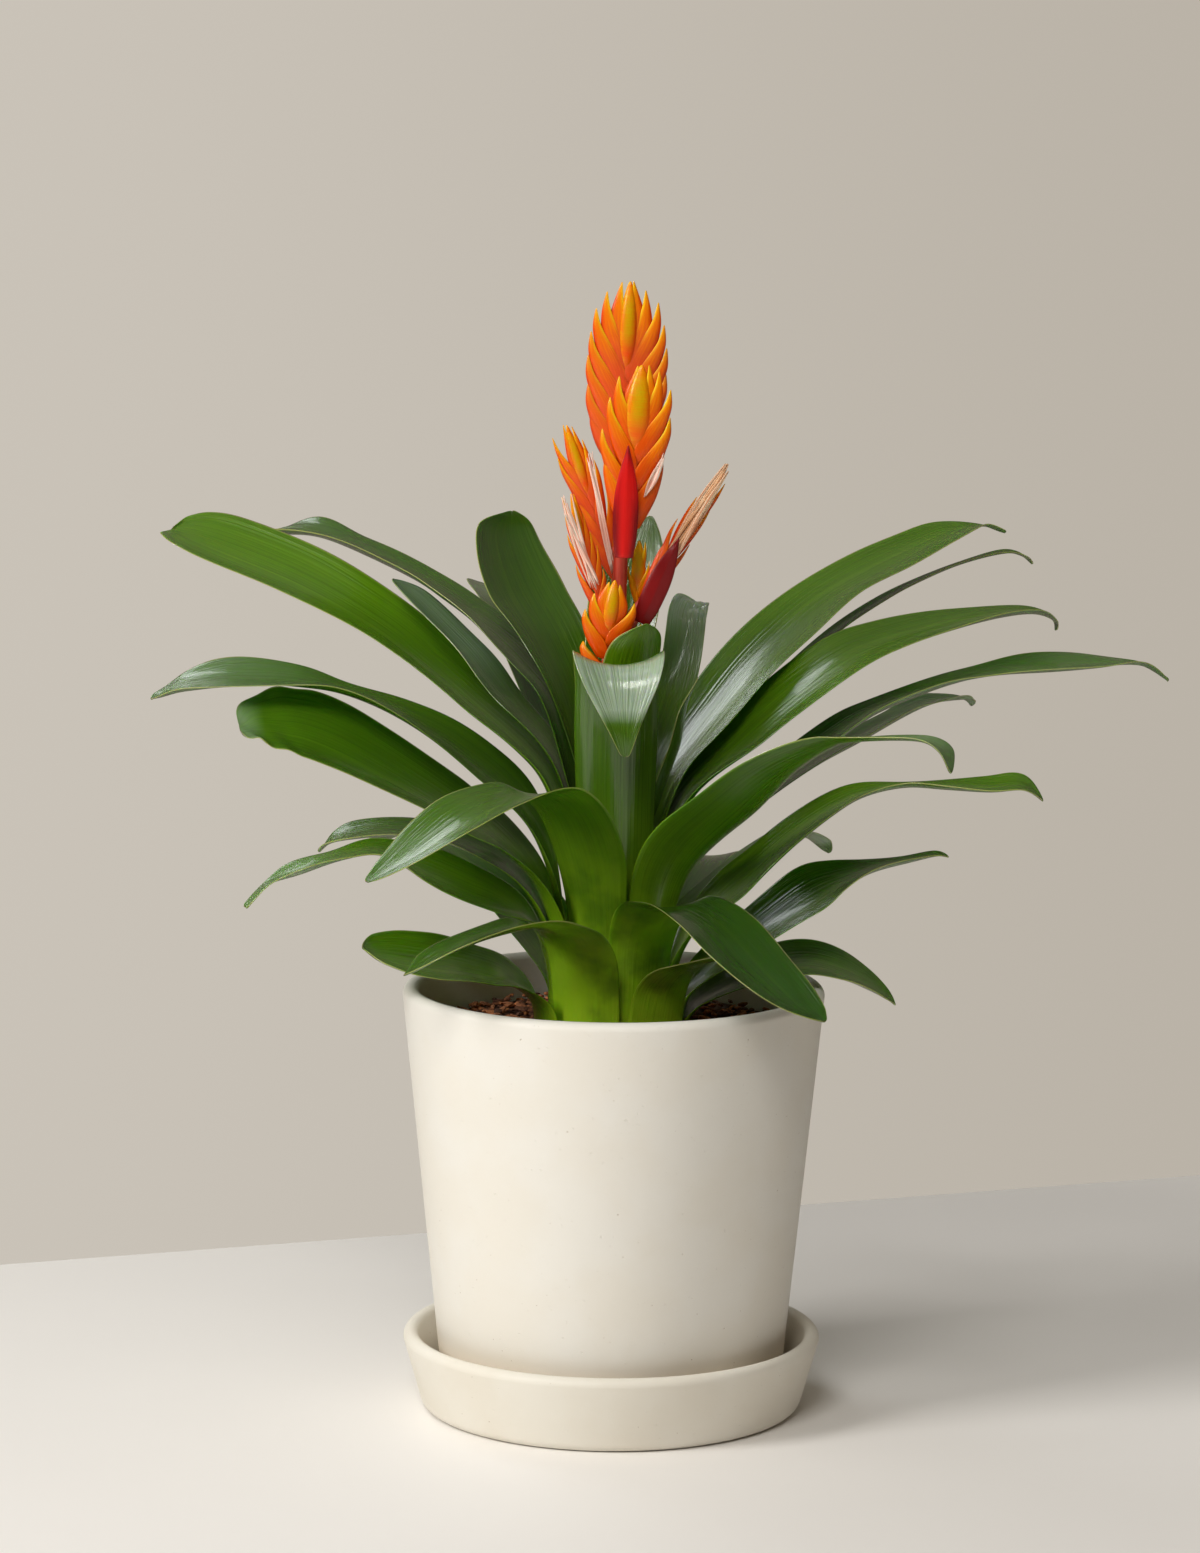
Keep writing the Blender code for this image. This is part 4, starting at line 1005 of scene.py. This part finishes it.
# From the low end of a bract to its tip: how far its keel has come out, for bracts as wide as
# the fan and for narrower ones, and how wide its sides are, as shares of the fan.
KEEL_WIDE = (0.28, 0.52, 0.73, 0.88, 1.0, 0.96)
KEEL_NARROW = (0.14, 0.31, 0.42, 0.38, 0.19, 0.0)
BLADE_WIDTH = (0.42, 0.66, 0.64, 0.44, 0.22, 0.02)


def lay_bract(axes, tip, fan, reach, sign, wrap):
    """A folded bract: from low on the axis, out along its keel, to its tip."""
    foot, rise, side, front = axes
    out, up = tip
    low = max(up - reach, 0)
    keel = []
    inner = []
    for step in range(len(KEEL_WIDE)):
        ridge = KEEL_WIDE[step] * out + KEEL_NARROW[step] * (fan - out)
        keel.append((ridge, low + (up - low) * step / (len(KEEL_WIDE) - 1)))
        inner.append((max(ridge - fan * BLADE_WIDTH[step], -0.07 * fan), ))

    def lay(along, across):
        position = along * (len(keel) - 1)
        ridge, height = through(keel, position)
        edge = through(inner, position)[0]
        depth = max(ridge - edge, 0.15)
        swell = math.sin(math.pi * min(0.10 + 1.6 * along, 0.5))
        thin = wrap * swell * max(1 - along ** 2, 0.02) ** 0.75
        angle = across * FOLD
        inward = depth * (1 - math.cos(angle)) / (1 - math.cos(FOLD))
        place = foot + rise * (height - 0.2 * inward * (1 - along))
        return place + side * sign * (ridge - inward) + front * thin * math.sin(angle)

    return laid_sheet(16, 10, lay)


def lay_bud(axes, length, half_width, half_depth):
    """The closed last bract: a flat pointed ball along the axis."""
    foot, rise, side, front = axes
    select_nothing()
    bpy.ops.mesh.primitive_uv_sphere_add(segments=24, ring_count=16, radius=1)
    bud = bpy.context.object
    middle = bud.data.attributes.new("middle", "FLOAT", "POINT")
    for vertex, value in zip(bud.data.vertices, middle.data):
        share = (vertex.co.z + 1) / 2
        taper = (1.0 - 0.5 * share ** 3) * (1.0 - 0.3 * (1 - share) ** 2)
        stripe = max(1 - (abs(vertex.co.x) * 1.3) ** 2, 0)
        value.value = stripe * min(4 * (1 - share), 1) * min(max(4 * share - 1.2, 0), 1)
        vertex.co = (foot + rise * share * length + side * vertex.co.x * half_width * taper
                     + front * vertex.co.y * half_depth * taper) * MM
    bpy.ops.object.mode_set(mode="EDIT")
    bpy.ops.mesh.select_all(action="SELECT")
    bpy.ops.mesh.normals_make_consistent(inside=False)
    bpy.ops.object.mode_set(mode="OBJECT")
    bpy.ops.object.shade_smooth()
    return bud


def spike_axes(foot, tip):
    foot, tip = Vector(foot), Vector(tip)
    rise = (tip - foot).normalized()
    side = rise.cross(Vector((0, -1, 0))).normalized()
    return (foot, rise, side, side.cross(rise)), (tip - foot).length


def build_spike(name, spike):
    foot, tip, (bud_width, bud_height), finish, blush, left, right = spike
    axes, length = spike_axes(foot, tip)
    fan = max(out for out, up in left + right)
    lowest = min(up for out, up in left + right)
    bracts = []
    slimness = min(fan / FULL_FAN, 1)
    for sign, tips in ((-1, left), (1, right)):
        for out, up in tips:
            order = (up - lowest) / (length - lowest)
            wrap = (BRACT_WRAP - WRAP_LOST * order + ROW_STAGGER * sign) * slimness
            bract = lay_bract(axes, (out, up), fan, BRACT_SHARE * length, sign, wrap)
            thicken(bract, BRACT_THICKNESS)
            paint_value(bract, "blush", blush * (1 - order) ** 1.5)
            paint_value(bract, "middle", 0.0)
            bracts.append(bract)
    bud_axes = (axes[0] + axes[1] * (length - bud_height - 1), ) + axes[1:]
    bud = lay_bud(bud_axes, bud_height, bud_width, BUD_HALF_DEPTH * slimness)
    paint_value(bud, "blush", 0.0)
    bracts.append(bud)
    hand_over(join_pieces(bracts), "spike_" + name, "flower_spike_" + name, finish)


for name, spike in SPIKES.items():
    build_spike(name, spike)

# %% [markdown]
# ### Dried petals
# Between the bracts the spent flowers hang on as thin papery strands, cream with a pink flush.
# They could be hair curves; a narrow sheet for each strand keeps its twist and catches light.

# %% Petal finish
FLUSH_PINK = (0.84, 0.36, 0.26, 1)
FLUSH_TAN = (0.62, 0.24, 0.08, 1)
PAPER_CREAM = (0.90, 0.80, 0.70, 1)
PAPER_TAN = (0.88, 0.60, 0.36, 1)


def make_petal_finish():
    material, tree, shader = new_finish("dried_petal")
    streaks = cloud(tree, stretched(tree, own_map(tree), (2, 4, 1)), 1.0, 2.0)
    tan = own_value(tree, "tan")
    flush = blend_colours(tree, tan, FLUSH_PINK, FLUSH_TAN)
    paper = blend_colours(tree, tan, PAPER_CREAM, PAPER_TAN)
    colour = blend_colours(tree, span(tree, streaks, 0.38, 0.58), flush, paper)
    dress(tree, shader, colour, bumps(tree, streaks, 0.0002, 0.3),
          span(tree, streaks, 0.3, 0.7, 0.4, 0.6), {})
    return material


dried_petal = make_petal_finish()

# %% Petal strands
# Each bundle, by its spike: middle of its lower end, middle of its upper end, spread below and
# above, strands, widest strand, how tan.
PETALS = {
    "right": ((20, -3, 332), (41.6, -1, 369.5), 2.4, 1.1, 11, 2.6, 1.3),
    "left": ((-1.5, 1, 328), (-10, 1, 374), 0.8, 2.0, 8, 1.3, 0.2),
    "low_left": ((-9, -8.2, 324), (-19.5, -8.2, 357.5), 2.2, 2.6, 12, 1.7, 0.3),
    "front": ((10.5, -13, 358), (16, -12, 375), 0.7, 1.8, 6, 1.5, 0.1),
}
STRAND_THICKNESS = 0.16


def lay_strand(low, high, width, bow, twist):
    low, high = Vector(low), Vector(high)
    rise = (high - low).normalized()
    side = rise.cross(Vector((0, -1, 0))).normalized()
    front = side.cross(rise)

    def lay(along, across):
        half = width / 2 * math.sin(math.pi * (0.04 + 0.92 * along)) ** 0.8
        angle = twist * (along - 0.3)
        flat = side * math.cos(angle) + front * math.sin(angle)
        bowed = side * bow * math.sin(math.pi * along)
        return low + (high - low) * along + bowed + flat * half * across

    return laid_sheet(12, 2, lay)


def strayed(place, spread, dice, lowest, highest):
    """A place knocked aside, less in depth, and down or up between two shares of the spread."""
    move = Vector((dice.uniform(-1, 1), dice.uniform(-0.6, 0.6), dice.uniform(lowest, highest)))
    return Vector(place) + move * spread


def strew_petals(name, bundle):
    low, high, spread_low, spread_high, count, widest, tan = bundle
    dice = random.Random("petals_" + name)
    strands = []
    for number in range(count):
        start = strayed(low, spread_low, dice, -1, 1)
        end = strayed(high, spread_high, dice, -2.4, 0.6)
        width, bow, twist = dice.uniform(0.5, 1) * widest, dice.uniform(-1.4, 1.4), dice.uniform(-1.3, 1.3)
        strand = thicken(lay_strand(start, end, width, bow, twist), STRAND_THICKNESS, 0)
        paint_value(strand, "tan", tan * dice.uniform(0.4, 1))
        strands.append(strand)
    hand_over(join_pieces(strands), "petals_" + name, "flower_spike_" + name, dried_petal)


for name, bundle in PETALS.items():
    strew_petals(name, bundle)

# %% [markdown]
# ## Primary bracts and stalk
# Two broad red bracts clasp the stalk below the spikes. The stalk itself is dark red, with a ring where a
# bract was attached, and short side stalks carry the spikes.
# The stalk could be a cylinder; a curve with round section follows its slight bends instead.

# %% Red finishes
RED_BRACT = make_bract_finish("red_bract", (0.20, 0.004, 0.005, 1), (0.56, 0.006, 0.006, 1),
                              (0.26, 0.012, 0.018, 1), (0.62, 0.008, 0.006, 1), (0.62, 0.05, 0.03, 1))


STALK_DARK = (0.42, 0.020, 0.012, 1)
STALK_LIGHT = (0.62, 0.085, 0.035, 1)


def make_stalk_finish():
    material, tree, shader = new_finish("stalk_red")
    streaks = cloud(tree, stretched(tree, object_place(tree), (500, 500, 25)), 1.0, 3.0)
    colour = blend_colours(tree, span(tree, streaks, 0.3, 0.7), STALK_DARK, STALK_LIGHT)
    dress(tree, shader, colour, bumps(tree, streaks, 0.0003, 0.4),
          span(tree, streaks, 0.3, 0.7, 0.38, 0.55),
          {"Subsurface Weight": 0.1, "Subsurface Scale": 0.001})
    return material


# %% Primary bracts
# Each bract: its foot, its tip, half width, how dark it is blushed.
PRIMARY_BRACTS = {
    "bract_front_red": ((2.6, -16.5, 335), (4, -16.5, 378), 4.9, 0.0),
    "bract_right_red": ((9.3, -6.5, 309), (23.8, -6.5, 342), 4.6, 1.25),
}
BRACT_OUTLINE = ((0.72, ), (0.93, ), (1.0, ), (0.98, ), (0.80, ), (0.45, ), (0.03, ))
CLASP = math.radians(78)
CLASP_DEPTH = 1.2
RIDGE_HEIGHT = 0.35


def build_primary_bract(name, bract):
    """A broad bract seen from its back: its keel points to the front."""
    foot, tip, half_width, blush = bract
    (foot, rise, side, front), length = spike_axes(foot, tip)

    def lay(along, across):
        half = half_width * through(BRACT_OUTLINE, along * (len(BRACT_OUTLINE) - 1))[0]
        angle = across * CLASP
        lift = CLASP_DEPTH * math.cos(angle) + RIDGE_HEIGHT * math.exp(-(across * 6) ** 2)
        return (foot + rise * along * length + side * half * math.sin(angle)
                + front * (lift - CLASP_DEPTH / 2))

    piece = thicken(laid_sheet(20, 12, lay), 0.35)
    paint_value(piece, "blush", blush)
    paint_value(piece, "middle", 0.0)
    hand_over(piece, name + "_leafy", name, RED_BRACT)


for name, bract in PRIMARY_BRACTS.items():
    build_primary_bract(name, bract)

# %% Stalk
STALK = ((0, 0, 150), (0, 0, 243), (1, 0, 321), (2, 0.5, 345), (2, 3, 364), (2, 8.5, 378))
STALK_RADII = (3.2, 3.1, 2.9, 2.6, 2.2, 1.4)
STALK_FORK = 340
SIDE_STALK_RADII = (1.6, 1.7, 1.6, 0.8)
NODE_RING = ((1.8, 0, 334.5), (1.8, 0, 336.5), (1.9, 0, 338.5))
NODE_RING_RADII = (3.0, 3.9, 3.0)
ROD_STEPS = 8


def round_rod(points, radii):
    """A rod of round section through points, as a mesh."""
    select_nothing()
    bpy.ops.curve.primitive_nurbs_path_add()
    rod = bpy.context.object
    curve = rod.data
    curve.splines.clear()
    spline = curve.splines.new("POLY")
    steps = ROD_STEPS * (len(points) - 1)
    spline.points.add(steps)
    for step in range(steps + 1):
        position = step / ROD_STEPS
        x, y, z = through(points, position)
        spline.points[step].co = (x * MM, y * MM, z * MM, 1)
        spline.points[step].radius = through([(radius, ) for radius in radii], position)[0]
    curve.dimensions = "3D"
    curve.bevel_depth = MM
    curve.bevel_resolution = 4
    curve.use_fill_caps = True
    bpy.ops.object.convert(target="MESH")
    bpy.ops.object.shade_smooth()
    return bpy.context.object


def build_stalk():
    """The stalk, a side stalk to each spike below its fork, and the ring of an old bract."""
    rods = [round_rod(STALK, STALK_RADII)]
    for spike in SPIKES.values():
        foot = Vector(spike[0])
        if foot.z > STALK_FORK:
            continue
        rise = (Vector(spike[1]) - foot).normalized()
        rods.append(round_rod(((0, 0.5, foot.z - 16), (foot.x * 0.45, foot.y * 0.45, foot.z - 7),
                               tuple(foot), tuple(foot + rise * 8)), SIDE_STALK_RADII))
    rods.append(round_rod(NODE_RING, NODE_RING_RADII))
    hand_over(join_pieces(rods), "stalk", "flower_stem", make_stalk_finish())


build_stalk()
